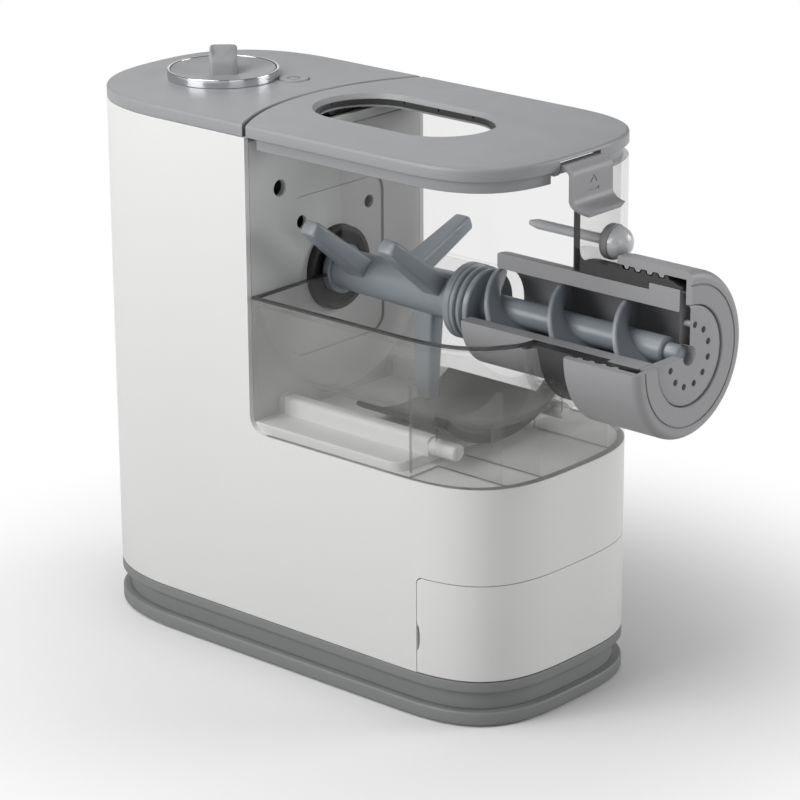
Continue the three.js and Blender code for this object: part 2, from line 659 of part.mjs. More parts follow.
function idlerGear() {
  const large = gear(fast, fast.large, gapDown(fast.large), idlerHeight);
  const small = gear(slow, slow.small, up, idlerHeight);
  const hub = rodX(idler.hub, gearbox.rear + gearbox.wall + seatGap, gearbox.coverRear - seatGap, 0,
    idlerHeight,
    midSides);
  const bore = rodX(idler.bore, gearbox.rear, gearbox.coverFront, 0, idlerHeight, midSides);
  return cut(join(large, small, hub), bore);
}

function idlerPin() {
  return rodX(idler.pin, gearbox.rear + seatGap, gearbox.coverFront - seatGap, 0, idlerHeight, midSides);
}

function outputGear() {
  const wheel = gear(slow, slow.large, gapDown(slow.large), axisHeight);
  return cut(wheel, rodX(output.gearSeat + seatGap, slow.rear - cutOverrun, slow.front + cutOverrun, 0,
    axisHeight, hexSides));
}

function outputShaft() {
  const rear = rodX(output.journal, gearbox.rear + seatGap, slow.rear, 0, axisHeight, midSides);
  const seat = rodX(output.gearSeat, slow.rear - seatGap, slow.front + output.head / 2, 0, axisHeight,
    hexSides);
  const front = rodX(output.front, slow.front, output.headRear + seatGap, 0, axisHeight, midSides);
  const head = rodX(output.head, output.headRear, output.headFront, 0, axisHeight, hexSides);
  return join(rear, seat, front, head);
}

function bearingRing(inner, outer, rear, front) {
  const body = rodX(outer, rear, front, 0, axisHeight, midSides);
  return cut(body, rodX(inner, rear - cutOverrun, front + cutOverrun, 0, axisHeight, midSides));
}

const rearBearingFront = gearbox.rear + seatGap + bearing.thick;
const coverBossFront = seal.rear - runGap;

function rearBearing() {
  return bearingRing(output.journal + seatGap, bearing.outer, gearbox.rear + seatGap, rearBearingFront);
}

function frontBearing() {
  return bearingRing(output.front + seatGap, bearing.frontOuter, gearbox.coverRear + seatGap,
    coverBossFront - seatGap);
}

const lugPlaces = [lugLow, lugHigh].flatMap((z) => [[-gearbox.lugY, z], [gearbox.lugY, z]]);

function capsuleOutline(inset) {
  const points = stadiumOutline(gearboxBottom + inset, gearboxTop - inset, gearbox.half - inset);
  return points.map((point) => new THREE.Vector2(-point.y, point.x));
}

function lugs(rear, front) {
  const arm = gearbox.lugWeb;
  const root = gearbox.half - 2 * gearbox.wall;
  return lugPlaces.flatMap(([y, z]) => [
    rodX(gearbox.lug, rear, front, y, z, midSides),
    box(rear, front, Math.min(y, Math.sign(y) * root), Math.max(y, Math.sign(y) * root), z - arm,
      z + arm)]);
}

function lugHoles() {
  return lugPlaces.map(([y, z]) => rodX(gearbox.hole, gearbox.rear - cutOverrun, cutOverrun, y, z,
    smallSides));
}

function gearboxCase() {
  const inside = gearbox.rear + gearbox.wall;
  const body = cut(prismX(capsuleOutline(0), gearbox.rear, gearbox.caseFront),
    prismX(capsuleOutline(gearbox.wall), inside, gearbox.caseFront + cutOverrun));
  const bossRing = rodX(bearing.outer + seatGap + bearing.boss, inside - seatGap, rearBearingFront, 0,
    axisHeight);
  const hole = (radius, z) => rodX(radius, gearbox.rear - cutOverrun, rearBearingFront + seatGap, 0, z,
    midSides);
  return cut(join(body, bossRing, ...lugs(gearbox.rear, gearbox.caseFront)),
    hole(bearing.outer + seatGap, axisHeight),
    hole(idler.bore, idlerHeight), hole(motorShaft.hole, motorHeight), ...lugHoles());
}

function gearboxCover() {
  const plate = prismX(capsuleOutline(0), gearbox.coverRear, gearbox.coverFront);
  const bossRing = rodX(bearing.frontOuter + seatGap + bearing.boss, gearbox.coverRear, coverBossFront, 0,
    axisHeight);
  const holes = [
    rodX(bearing.frontOuter + seatGap, gearbox.coverRear - cutOverrun, cutOverrun, 0, axisHeight, midSides),
    rodX(idler.bore, gearbox.coverRear - cutOverrun, cutOverrun, 0, idlerHeight, midSides)];
  const bosses = lugs(gearbox.coverRear, gearbox.coverFront);
  const pads = lugPlaces.map(([y, z]) => rodX(gearbox.lug, gearbox.coverRear, -face.thick - seatGap, y, z,
    midSides));
  return cut(join(plate, bossRing, ...bosses, ...pads), ...holes, ...lugHoles());
}

function gearboxScrew([y, z]) {
  const underHead = gearbox.rear - seatGap;
  const head = rodX(caseScrew.head, underHead - caseScrew.headDeep, underHead, y, z, midSides);
  return join(head, rodX(caseScrew.shaft, underHead - seatGap, caseScrew.front, y, z, smallSides));
}

// Motor with its armature, magnets and fan
const capFront = canRear - seatGap;

function motorCan() {
  const shell = rodX(motor.radius, canRear, canFront, 0, motorHeight, motorSides);
  const hollow = rodX(motor.radius - motor.wall, canRear - cutOverrun, canFront - motor.wall, 0,
    motorHeight, motorSides);
  return cut(shell, hollow, rodX(motorShaft.hole, canRear, canFront + cutOverrun, 0, motorHeight,
    midSides));
}

function motorEndCap() {
  return cut(rodX(motor.radius, capFront - motor.cap, capFront, 0, motorHeight, motorSides),
    rodX(motorShaft.hole, capFront - cutOverrun, capFront + cutOverrun, 0, motorHeight, midSides));
}

function motorMagnet(side) {
  const inner = motor.armature + 2 * motor.wall - runGap;
  const rear = canRear + canLength / 5;
  const front = canFront - canLength / 5;
  const tubeSolid = cut(rodX(motor.magnet, rear, front, 0, motorHeight, motorSides),
    rodX(inner, rear - cutOverrun, front + cutOverrun, 0, motorHeight, motorSides));
  const half = motor.armature;
  const reach = Math.min(0, side * motor.radius);
  return common(tubeSolid, box(rear, front, reach, reach + motor.radius, motorHeight - half,
    motorHeight + half))
    .subtract(box(rear - cutOverrun, front + cutOverrun, -motor.armature / 2, motor.armature / 2, 0,
      beyond));
}

function motorArmature() {
  const rear = canRear + canLength / 6;
  const front = canFront - canLength / 6;
  const core = rodX(motor.armature, rear, front, 0, motorHeight, motorSides);
  const slots = [];
  for (let turn = 0; turn < motor.slots; turn += 1) {
    const slotBox = box(rear - cutOverrun, front + cutOverrun, -motor.wall / 2, motor.wall / 2,
      motor.armature * 3 / 4, motor.radius);
    slots.push(slotBox.rotate([(turn * 360) / motor.slots, 0, 0]).translate([0, 0, motorHeight]));
  }
  return cut(core, rodX(motorShaft.radius + seatGap, canRear, canFront, 0, motorHeight, midSides),
    ...slots);
}

function motorShaftWithPinion() {
  const rod = rodX(motorShaft.radius, motorShaftRear, motorShaft.front, 0, motorHeight, midSides);
  return join(rod, gear(fast, fast.small, up, motorHeight));
}

function coolingFan() {
  const back = rodX(fan.radius, fanRear, fanRear + fan.disc, 0, motorHeight, motorSides);
  const hub = rodX(fan.hub, fanRear, fanRear + fan.thick, 0, motorHeight, midSides);
  const blades = [];
  for (let blade = 0; blade < fan.blades; blade += 1) {
    const vane = box(fanRear, fanRear + fan.thick, -fan.blade / 2, fan.blade / 2, fan.hub / 2,
      fan.radius - fan.blade);
    blades.push(vane.rotate([(blade * 360) / fan.blades, 0, 0]).translate([0, 0, motorHeight]));
  }
  return cut(join(back, hub, ...blades), rodX(motorShaft.radius + seatGap, fanRear - cutOverrun,
    fanRear + fan.thick + cutOverrun, 0, motorHeight, midSides));
}

// Right-hand helical ridge about the axis, at the given distance along it where it passes the given angle
function helicalRidge({ rootRadius, crestRadius, base, tip, pitch, x, angle, turns, steps }) {
  const count = Math.round(turns * steps);
  const positions = [];
  const corners = [[-base / 2, rootRadius], [base / 2, rootRadius], [tip / 2, crestRadius],
    [-tip / 2, crestRadius]];
  for (let step = 0; step <= count; step += 1) {
    const turned = (step / steps) * 2 * Math.PI;
    corners.forEach(([along, radius]) => positions.push(x + (pitch * step) / steps + along,
      radius * Math.cos(angle + turned), axisHeight + radius * Math.sin(angle + turned)));
  }
  const ring = corners.length;
  const faces = [[0, 2, 1], [0, 3, 2]];
  for (let step = 0; step < count; step += 1) {
    for (let side = 0; side < ring; side += 1) {
      const [a, b] = [ring * step + side, ring * step + (side + 1) % ring];
      faces.push([a, b, a + ring], [b, b + ring, a + ring]);
    }
  }
  const last = ring * count;
  faces.push([last, last + 1, last + 2], [last, last + 2, last + 3]);
  const geometry = new THREE.BufferGeometry();
  geometry.setAttribute("position", new THREE.BufferAttribute(new Float32Array(positions), 3));
  geometry.setIndex(faces.flat());
  return solidOf(geometry);
}

// Mixing chamber
function basinProfile(grow) {
  const points = [[basinStraight, basinInner + grow]];
  for (let step = 1; step <= endSteps; step += 1) {
    const angle = (step / endSteps) * (Math.PI / 2);
    points.push([basinStraight + (basinFront + grow - basinStraight) * Math.sin(angle),
      throat + grow + (basinInner - throat) * Math.cos(angle)]);
  }
  return points;
}

function chamberSkirt() {
  const bottom = deckTop + seatGap;
  const shell = cut(slice(0, bottom, chamberTop), slice(chamber.wall, bottom - cutOverrun,
    chamberTop + cutOverrun, chamber.frontWall));
  const rear = common(slice(0, bottom, chamberTop), behind(chamber.rear + chamber.rearWall));
  return common(join(shell, rear), aheadOf(chamber.rear));
}

function skirtCorner() {
  const bottom = deckTop + seatGap;
  const size = spandrel.radius;
  const corner = box(chamber.rear - cutOverrun, chamber.rear + size, -bodyWidth, bodyWidth,
    bottom - cutOverrun,
    bottom + size);
  return cut(corner, rodY(size, -beyond, beyond, chamber.rear + size, bottom + size, bigSides));
}

function sleeveBody() {
  const wallFront = bodyFront;
  const flare = [];
  for (let step = 0; step <= filletSteps; step += 1) {
    const angle = (step / filletSteps) * (Math.PI / 2);
    flare.push([wallFront + sleeve.flareRun * (1 - Math.cos(angle)),
      threadRoot + sleeve.flareRise * (1 - Math.sin(angle))]);
  }
  const profile = [[basinFront, threadRoot + sleeve.flareRise], ...flare, [sleeveNose, threadRoot],
    [sleeveFront, noseRadius]];
  return turnedX(profile, 0, axisHeight);
}

const saddleHalf = saddleOuter * Math.sin(THREE.MathUtils.degToRad(saddle.spread));

function chamberRibs() {
  const bottom = deckTop + seatGap;
  const half = bodyWidth / 2 - chamber.wall / 2;
  const longRib = (y) => box(rib.rear, bodyFront - chamber.frontWall / 2, y - rib.thick / 2,
    y + rib.thick / 2,
    bottom, ribTop);
  const cross = box(rib.rear, rib.rear + rib.thick, -half, rib.nearY, bottom, ribTop);
  const ribs = common(join(longRib(rib.nearY), longRib(rib.midY), longRib(rib.farY), cross),
    slice(0, 0, ribTop));
  const saddleRoom = common(rodX(saddleOuter + seatGap, 0, saddle.front + runGap, 0, axisHeight),
    box(0, saddle.front + runGap, -saddleHalf - 3 * runGap, saddleHalf + 3 * runGap, 0, axisHeight));
  return cut(ribs, saddleRoom);
}

function mixingChamber() {
  const full = basinProfile(basin.wall);
  const bowl = turnedX([[chamber.rear, basinInner + basin.wall], ...full], 0, axisHeight);
  const lowerBowl = cut(bowl, above(basinFlangeTop));
  const flange = common(slice(0, basinFlangeTop - basin.flange, basinFlangeTop), aheadOf(chamber.rear));
  const threads = helicalRidge({ rootRadius: threadRoot - runGap, crestRadius: threadCrest,
    base: thread.base,
    tip: thread.tip, pitch: thread.pitch, x: threadStart - leadShare * thread.pitch,
    angle: up - leadShare * 2 * Math.PI, turns: thread.turns + 2 * leadShare, steps: threadSteps });
  const nub = box(bodyFront - chamber.frontWall / 2, nubFront, 0, catchNub.half, nubBottom, nubTop);
  const inside = chamber.rear + chamber.rearWall;
  const hollow = join(
    turnedX([[inside, basinInner], ...basinProfile(0)], 0, axisHeight),
    rodX(sleeveInner, basinFront - seatGap, sleeveStep + seatGap, 0, axisHeight),
    rodX(sleeveWide, sleeveStep, sleeveFront + cutOverrun, 0, axisHeight));
  const journalHole = rodX(chamber.journal, 0, inside + cutOverrun, 0, axisHeight);
  const fixingHole = rodX(fixing.hole, basinFront - cutOverrun, bodyFront + cutOverrun, fixing.y,
    fixingHeight, smallSides);
  const whole = join(chamberSkirt(), lowerBowl, flange, sleeveBody(), chamberRibs(), threads, nub);
  return cut(whole, hollow, journalHole, fixingHole, skirtCorner(), cutQuarter());
}

function bowlSaddle() {
  const inner = basinInner + basin.wall + saddle.gap;
  const shell = cut(rodX(saddleOuter, saddle.rear, saddle.front, 0, axisHeight),
    rodX(inner, saddle.rear - cutOverrun, saddle.front + cutOverrun, 0, axisHeight));
  const strip = common(shell, box(saddle.rear, saddle.front, -saddleHalf, saddleHalf, 0, axisHeight));
  const legTop = axisHeight - inner - seatGap;
  const leg = box(saddle.legRear, saddle.legFront, -saddle.legHalf, saddle.legHalf,
    deckTop - deck.pocketDeep + seatGap, legTop - seatGap);
  return join(strip, leg);
}

function fixingKnob() {
  const domeRear = fixingRingFront + seatGap;
  const profile = [[fixing.rear, fixing.shank / 2], [fixing.rear + 2 * fixing.shank, fixing.shank],
    [domeRear, fixing.shank], [domeRear, fixing.dome]];
  for (let step = 1; step <= filletSteps; step += 1) {
    const angle = (step / (filletSteps + 1)) * (Math.PI / 2);
    profile.push([domeRear + (fixingFront - domeRear) * Math.sin(angle), fixing.dome * Math.cos(angle)]);
  }
  profile.push([fixingFront, fixing.shank / 2]);
  return turnedX(profile, fixing.y, fixingHeight, midSides);
}

function fixingKnobRing() {
  const rear = bodyFront + seatGap;
  const middle = (rear + fixingRingRear) / 2;
  const body = turnedX([[rear, fixing.ring / 2], [middle, fixing.ring * 3 / 5],
    [fixingRingRear, fixing.ring],
    [fixingRingFront, fixing.ring]], fixing.y, fixingHeight, midSides);
  return cut(body, rodX(fixing.hole, rear - cutOverrun, fixingFront + cutOverrun, fixing.y, fixingHeight,
    smallSides));
}

// Paddle: hub, journal, collar and four tapered arms
function paddleArm({ x, turn }) {
  const arm = new THREE.BoxGeometry(paddle.rootWide, paddle.rootThick, paddleReach);
  const places = arm.attributes.position;
  const tipShares = [paddle.tipWide / paddle.rootWide, paddle.tipThick / paddle.rootThick];
  for (let corner = 0; corner < places.count; corner += 1) {
    const outer = places.getZ(corner) > 0;
    const [wideShare, thickShare] = outer ? tipShares : [1, 1];
    places.setXYZ(corner, places.getX(corner) * wideShare, places.getY(corner) * thickShare,
      outer ? paddleReach : paddle.hub / 2);
  }
  return solidOf(arm).rotate([turn, 0, 0]).translate([x, 0, axisHeight]);
}

function mixingPaddle() {
  const body = turnedX([[paddle.rear, paddle.journal], [paddle.journalFront, paddle.journal],
    [paddle.journalFront, paddle.hub], [paddle.collarRear, paddle.hubEnd],
      [paddle.collarRear, paddleCollar],
    [paddle.front, paddleCollar]], 0, axisHeight);
  const socket = rodX(paddle.socket, paddle.rear - cutOverrun, output.headFront + seatGap, 0,
    axisHeight, hexSides);
  const half = paddle.square / 2 + seatGap;
  const squareHole = box(paddle.front - paddle.squareDeep, paddle.front + cutOverrun, -half, half,
    axisHeight - half, axisHeight + half);
  return cut(join(body, ...arms.map(paddleArm)), socket, squareHole);
}

function extrusionScrew() {
  const half = paddle.square / 2;
  const collarRear = paddle.front + seatGap;
  const tenon = box(paddle.front - paddle.squareDeep + seatGap, collarRear + half, -half, half,
    axisHeight - half,
    axisHeight + half);
  const body = turnedX([[collarRear, paddleCollar], [worm.collarFront, paddleCollar],
    [worm.collarFront, worm.core], [wormFront, worm.core], [wormFront, worm.pin],
    [pinFront - worm.pin / 2, worm.pin], [pinFront, worm.pin / 2]], 0, axisHeight);
  const turns = (wormFront - worm.tip - worm.rear) / worm.pitch;
  const angle = Math.PI + ((worm.rear - worm.phaseX) / worm.pitch) * 2 * Math.PI;
  const flight = helicalRidge({ rootRadius: worm.core - runGap, crestRadius: wormFlight, base: worm.root,
    tip: worm.tip, pitch: worm.pitch, x: worm.rear, angle, turns, steps: flightSteps });
  return join(tenon, body, flight);
}

function extrusionTube() {
  const body = turnedX([[tube.rear, tube.radius], [tubeStep, tube.radius], [tubeStep, tube.wide],
    [tubeFront, tube.wide]], 0, axisHeight);
  return cut(body, rodX(tubeBore, tube.rear - cutOverrun, tubeFront + cutOverrun, 0, axisHeight),
    cutQuarter());
}

function shapingDisc() {
  const rear = tubeFront + seatGap;
  const body = turnedX([[rear, discFlange], [rear + disc.thick, discFlange], [rear + disc.thick, disc.boss],
    [discFront, disc.boss]], 0, axisHeight);
  const holes = [];
  for (let hole = 0; hole < disc.holes; hole += 1) {
    const angle = ((hole + 1 / 2) / disc.holes) * 2 * Math.PI;
    holes.push(rodX(disc.hole, rear - cutOverrun, discFront + cutOverrun, disc.circle * Math.cos(angle),
      axisHeight + disc.circle * Math.sin(angle), smallSides));
  }
  const centre = rodX(disc.centre, rear - cutOverrun, discFront + cutOverrun, 0, axisHeight, midSides);
  return cut(body, centre, ...holes, cutQuarter());
}

function discNut() {
  const fillet = nut.fillet;
  const profile = [[nutRear, nutRadius - fillet / 5], [nutRear + fillet / 5, nutRadius]];
  for (let step = 0; step <= filletSteps; step += 1) {
    const angle = (step / filletSteps) * (Math.PI / 2);
    profile.push([nutFront - fillet + fillet * Math.sin(angle),
      nutRadius - fillet + fillet * Math.cos(angle)]);
  }
  const body = turnedX(profile, 0, axisHeight);
  const bore = rodX(nutBore, nutRear - cutOverrun, nutWallRear, 0, axisHeight);
  const mouth = rodX(nutOpening, nutWallRear - cutOverrun, nutFront + cutOverrun, 0, axisHeight);
  const grooveRing = cut(rodX(nut.groove + nut.grooveWide / 2, nutFront - nut.grooveDeep,
    nutFront + cutOverrun,
    0, axisHeight), rodX(nut.groove - nut.grooveWide / 2, nutFront - cutOverrun,
      nutFront + 2 * cutOverrun, 0,
    axisHeight));
  const innerThread = helicalRidge({ rootRadius: nutCrest, crestRadius: nutBore + 2 * runGap,
    base: nut.ridgeTip,
    tip: nut.ridgeBase, pitch: thread.pitch, x: threadStart + (1 / 2 - leadShare) * thread.pitch,
    angle: up - leadShare * 2 * Math.PI, turns: nut.ridgeTurns + 2 * leadShare, steps: threadSteps });
  return cut(join(cut(body, bore, mouth, grooveRing), innerThread), cutQuarter());
}

// Lid, its seal and hinge arms
function lid() {
  const edge = -seam.width / 2;
  const bottom = towerTop + seatGap;
  const plate = slice(0, plateBottom, coverTop);
  const wall = ringSlice(0, cover.wall, bottom, plateBottom + seatGap);
  const arcWall = cut(slice(0, bottom, plateBottom + seatGap), seamDisc(edge - cover.wall));
  const shell = common(join(plate, wall, arcWall), seamDisc(edge));
  const skirtWall = common(ringSlice(skirt.inset, skirt.inset + skirt.wall, skirtBottom,
    plateBottom + seatGap),
    aheadOf(skirt.rear));
  const latchZone = box(basinStraight, beyond, -latch.half - ear.width - runGap,
    latch.half + ear.width + runGap,
    skirtBottom - cutOverrun, bottom);
  const slotWall = cut(prism(slotOutline(slot.wall), bottom, plateBottom + seatGap),
    prism(slotOutline(0), bottom - cutOverrun, coverTop));
  const ledge = cut(prism(slotOutline(slot.wall / 2), bottom, bottom + slot.ledgeThick),
    prism(slotOutline(-slot.ledge), bottom - cutOverrun, coverTop));
  const pourSlot = prism(slotOutline(0), bottom + slot.ledgeThick, coverTop + cutOverrun);
  const relief = box(earRear - runGap, beyond, -latch.half - runGap, latch.half + runGap, 0,
    coverTop - latch.relief);
  const ears = [-1, 1].map((side) => earBlock(side));
  const pinHole = rodY(latch.bore, -latch.half - ear.pinRun - seatGap, latch.half + ear.pinRun + seatGap,
    latchX, latchHeight, smallSides);
  const shellWithSkirt = join(shell, cut(skirtWall, latchZone));
  return cut(join(cut(shellWithSkirt, pourSlot), slotWall, ledge, ...ears), relief, pinHole);
}

function slotOutline(offset) {
  return stadiumOutline(slot.rear - offset, slotFront + offset, slotHalf + offset);
}

function earBlock(side) {
  const near = side * (latch.half + runGap);
  const far = side * (latch.half + runGap + ear.width);
  return box(earRear, earFront, Math.min(near, far), Math.max(near, far), earBottom, plateBottom + seatGap);
}

function slotGasket() {
  const bottom = towerTop + 2 * seatGap + slot.ledgeThick;
  return cut(prism(slotOutline(-seatGap), bottom, bottom + gasket.thick),
    prism(slotOutline(-gasket.width), bottom - cutOverrun, bottom + cutOverrun));
}

function lidHingeArm(side) {
  const x = -(seam.bow - seam.width / 2);
  const [y0, y1] = [side * hinge.low, side * hinge.high].sort((first, second) => first - second);
  const top = plateBottom - seatGap;
  const ringSolid = cut(rodY(hinge.outer, y0, y1, x, coverTop, bigSides),
    rodY(hinge.inner, y0 - cutOverrun, y1 + cutOverrun, x, coverTop, bigSides), above(top));
  const pad = box(hinge.padRear, hinge.padFront, y0, y1, top - hinge.padThick, top);
  return join(ringSolid, pad);
}

// Latch that hooks the lid to the chamber
function latchProfile() {
  const bend = latch.bend;
  const centreX = latchFront - bend;
  const top = latchHeight + latch.barrel;
  const arc = (radius) => [0, 1, 2, 3, 4].map((step) => {
    const angle = ((4 - step) / 4) * (Math.PI / 2);
    return new THREE.Vector2(centreX + radius * Math.cos(angle), top - bend + radius * Math.sin(angle));
  });
  const inner = latchFront - latch.thick;
  const tipX = latchFront + latch.lipReach;
  const tipZ = latchBottom - latch.lipDrop;
  const outerLine = [new THREE.Vector2(latchFront, latchBottom),
    new THREE.Vector2(latchFront + latch.lipReach / 4, latchBottom - latch.lipDrop / 2),
    new THREE.Vector2(tipX, tipZ + latch.lipDrop / 8)];
  const innerLine = [new THREE.Vector2(tipX - latch.thick / 3, tipZ - latch.thick * 2 / 3),
    new THREE.Vector2(latchFront, latchBottom - latch.thick - latch.lipDrop / 3),
    new THREE.Vector2(inner, latchBottom - latch.thick / 3)];
  return [new THREE.Vector2(latchX, top), ...arc(bend), ...outerLine, ...innerLine,
    ...arc(bend - latch.thick).reverse(), new THREE.Vector2(latchX, top - latch.thick)];
}

function lidLatch() {
  const plate = prismY(latchProfile(), -latch.half, latch.half);
  const barrel = rodY(latch.barrel, -latch.half, latch.half, latchX, latchHeight);
  const low = latchBottom - latch.lipDrop - latch.thick;
  const frontView = prismX(roundedOutline(-latch.half, latch.half, low, coverTop + latch.corner,
    latch.corner),
    latchX - cutOverrun, latchFront + 2 * cutOverrun);
  const pinHole = rodY(latch.bore, -bodyWidth, bodyWidth, latchX, latchHeight, smallSides);
  return cut(join(common(plate, frontView), barrel), pinHole);
}

function latchPin() {
  const reach = latch.half + ear.pinRun;
  return rodY(latch.pin, -reach, reach, latchX, latchHeight, smallSides);
}

// Storage drawer with two spare discs
function storageDrawer() {
  const bottom = bandTop + 2 * seatGap;
  const top = drawer.top - seatGap;
  const shell = common(ringSlice(0, drawer.front, bottom, top), aheadOf(drawer.seam + seatGap));
  const half = drawerHalf;
  const wall = drawer.thick;
  const outer = box(drawer.rear, bodyFront, -half, half, drawerFloor, drawerWallTop);
  const inner = box(drawer.rear + wall, bodyFront + cutOverrun, -half + wall, half - wall,
    drawerFloor + wall,
    drawerWallTop + cutOverrun);
  const trayBox = common(cut(outer, inner), slice(drawer.front / 2, 0, drawerWallTop + cutOverrun));
  const notch = box(drawer.seam - cutOverrun, drawer.notchFront, -bodyWidth, -half - wall, drawer.notchLow,
    drawer.notchHigh);
  return cut(join(shell, trayBox), notch);
}

function spareDisc(x) {
  const bottom = drawerFloor + drawer.thick + seatGap;
  const body = turnedZ([[bottom, spare.radius], [bottom + spare.thick / 2, spare.radius],
    [bottom + spare.thick / 2, disc.boss], [bottom + spare.thick, disc.boss]], x, 0, bigSides);
  const holes = [rodZ(disc.centre, bottom - cutOverrun, bottom + 2 * cutOverrun, x, 0, smallSides)];
  for (let hole = 0; hole < disc.holes / 2; hole += 1) {
    const angle = (hole / disc.holes) * 4 * Math.PI;
    holes.push(rodZ(2 * disc.hole, bottom - cutOverrun, bottom + 2 * cutOverrun,
      x + disc.circle * Math.cos(angle), disc.circle * Math.sin(angle), smallSides));
  }
  return cut(body, ...holes);
}

// Finishes: colour, roughness, metalness
const finishes = {
  shellWhite: [0xe3e1dd, 0.38, 0], coverGrey: [0xa5a6a8, 0.42, 0], baseGrey: [0x8b8e8c, 0.5, 0],
  nutGrey: [0x97989a, 0.45, 0], clearPlastic: [0x8f9294, 0.12, 0], darkRubber: [0x2f2e2d, 0.8, 0],
  paddleBlue: [0x7d8790, 0.4, 0], paleKnob: [0xd6d8da, 0.3, 0], steel: [0xb9bcbf, 0.3, 1],
  brightTrim: [0xd9dadc, 0.15, 1], boardGreen: [0x2d5a3c, 0.6, 0], gearNylon: [0xdad7cc, 0.5, 0],
  motorSteel: [0x8d9196, 0.4, 1], magnetDark: [0x4a4a4c, 0.7, 0], switchBlack: [0x2a2a2c, 0.6, 0],
};

const machine = new THREE.Group();
machine.position.x = -(bodyRear + nutFront) / 2;

function addPart(name, finish, solid) {
  const [color, roughness, metalness] = finishes[finish];
  const material = new THREE.MeshStandardMaterial({ color, roughness, metalness });
  const mesh = new THREE.Mesh(geometryOf(solid), material);
  mesh.name = name;
  machine.add(mesh);
}

footPlaces.forEach((place, index) => {
  addPart(`rubber_foot_${index + 1}`, "darkRubber", rubberFoot(place));
  addPart(`base_screw_${index + 1}`, "steel", baseScrewAt(place));
});
lugPlaces.forEach((place, index) => addPart(`gearbox_screw_${index + 1}`, "steel", gearboxScrew(place)));
addPart("foot_ring", "baseGrey", footRing());
addPart("base_tray", "baseGrey", baseTray());
addPart("housing_shell", "shellWhite", housingShell());
addPart("cord_gland", "darkRubber", cordGland());
addPart("back_plate", "coverGrey", backPlate());
addPart("drive_seal", "darkRubber", driveSeal());
addPart("top_cover", "coverGrey", topCover());
addPart("control_board", "boardGreen", controlBoard());
addPart("timer_switch", "switchBlack", timerSwitch());
addPart("selector_shaft", "steel", selectorShaft());
addPart("knob_dial", "coverGrey", knobDial());
addPart("knob_trim_ring", "brightTrim", knobTrimRing());
addPart("start_button", "coverGrey", startButton());
addPart("button_spring", "steel", buttonSpring());
addPart("start_switch", "switchBlack", startSwitchBody());
addPart("motor_can", "motorSteel", motorCan());
addPart("motor_end_cap", "switchBlack", motorEndCap());
addPart("motor_magnet_1", "magnetDark", motorMagnet(-1));
addPart("motor_magnet_2", "magnetDark", motorMagnet(1));
addPart("motor_armature", "motorSteel", motorArmature());
addPart("motor_shaft", "steel", motorShaftWithPinion());
addPart("cooling_fan", "switchBlack", coolingFan());
addPart("idler_gear", "gearNylon", idlerGear());
addPart("idler_pin", "steel", idlerPin());
addPart("output_gear", "gearNylon", outputGear());
addPart("output_shaft", "steel", outputShaft());
addPart("rear_bearing", "steel", rearBearing());
addPart("front_bearing", "steel", frontBearing());
addPart("gearbox_case", "switchBlack", gearboxCase());
addPart("gearbox_cover", "switchBlack", gearboxCover());
addPart("mixing_chamber", "clearPlastic", mixingChamber());
addPart("bowl_saddle", "darkRubber", bowlSaddle());
addPart("mixing_paddle", "paddleBlue", mixingPaddle());
addPart("extrusion_screw", "paddleBlue", extrusionScrew());
addPart("extrusion_tube", "nutGrey", extrusionTube());
addPart("shaping_disc", "nutGrey", shapingDisc());
addPart("disc_nut", "nutGrey", discNut());
addPart("fixing_knob", "paleKnob", fixingKnob());
addPart("fixing_knob_ring", "nutGrey", fixingKnobRing());
addPart("lid", "coverGrey", lid());
addPart("slot_gasket", "darkRubber", slotGasket());
addPart("lid_hinge_arm_left", "coverGrey", lidHingeArm(1));
addPart("lid_hinge_arm_right", "coverGrey", lidHingeArm(-1));
addPart("lid_latch", "nutGrey", lidLatch());
addPart("latch_pin", "steel", latchPin());
addPart("storage_drawer", "shellWhite", storageDrawer());
addPart("spare_disc_1", "nutGrey", spareDisc(spare.rearX));
addPart("spare_disc_2", "nutGrey", spareDisc(spare.frontX));

export default machine;
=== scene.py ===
import json
import math

import bmesh
import bpy
import numpy as np
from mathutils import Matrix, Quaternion, Vector


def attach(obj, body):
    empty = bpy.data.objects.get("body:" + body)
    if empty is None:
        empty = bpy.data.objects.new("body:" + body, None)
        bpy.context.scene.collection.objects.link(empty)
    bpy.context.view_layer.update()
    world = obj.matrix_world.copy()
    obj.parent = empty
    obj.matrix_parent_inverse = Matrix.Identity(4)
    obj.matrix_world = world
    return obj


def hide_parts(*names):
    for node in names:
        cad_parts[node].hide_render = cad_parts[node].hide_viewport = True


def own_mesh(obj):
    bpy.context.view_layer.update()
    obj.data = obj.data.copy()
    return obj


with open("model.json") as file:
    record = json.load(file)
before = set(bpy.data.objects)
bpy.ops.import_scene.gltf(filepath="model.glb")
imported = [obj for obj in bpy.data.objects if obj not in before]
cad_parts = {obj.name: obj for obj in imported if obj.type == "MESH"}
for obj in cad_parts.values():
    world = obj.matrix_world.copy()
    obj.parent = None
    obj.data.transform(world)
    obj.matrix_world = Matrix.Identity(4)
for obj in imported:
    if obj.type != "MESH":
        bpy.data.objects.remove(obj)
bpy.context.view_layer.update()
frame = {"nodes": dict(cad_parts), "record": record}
print("frame loaded:", len(frame["nodes"]), "nodes")

# Lengths are in millimetres from the tower's front face, the middle plane and the worktop
towerFace = -45.75
axisHeight = 190.1
deckTop = 120.7
lidTop = 274.9
far = 400.0

outlineSizes = {"width": 129.0, "rear": -126.4, "rearStart": -54.2, "frontStart": 88.9, "front": 152.9,
                "rearPower": 2.58, "frontPower": 3.18}


def toFrame(points):
    # millimetres from the tower's face to metres in the frame
    return (np.asarray(points, float) + (towerFace, 0.0, 0.0)) / 1000.0


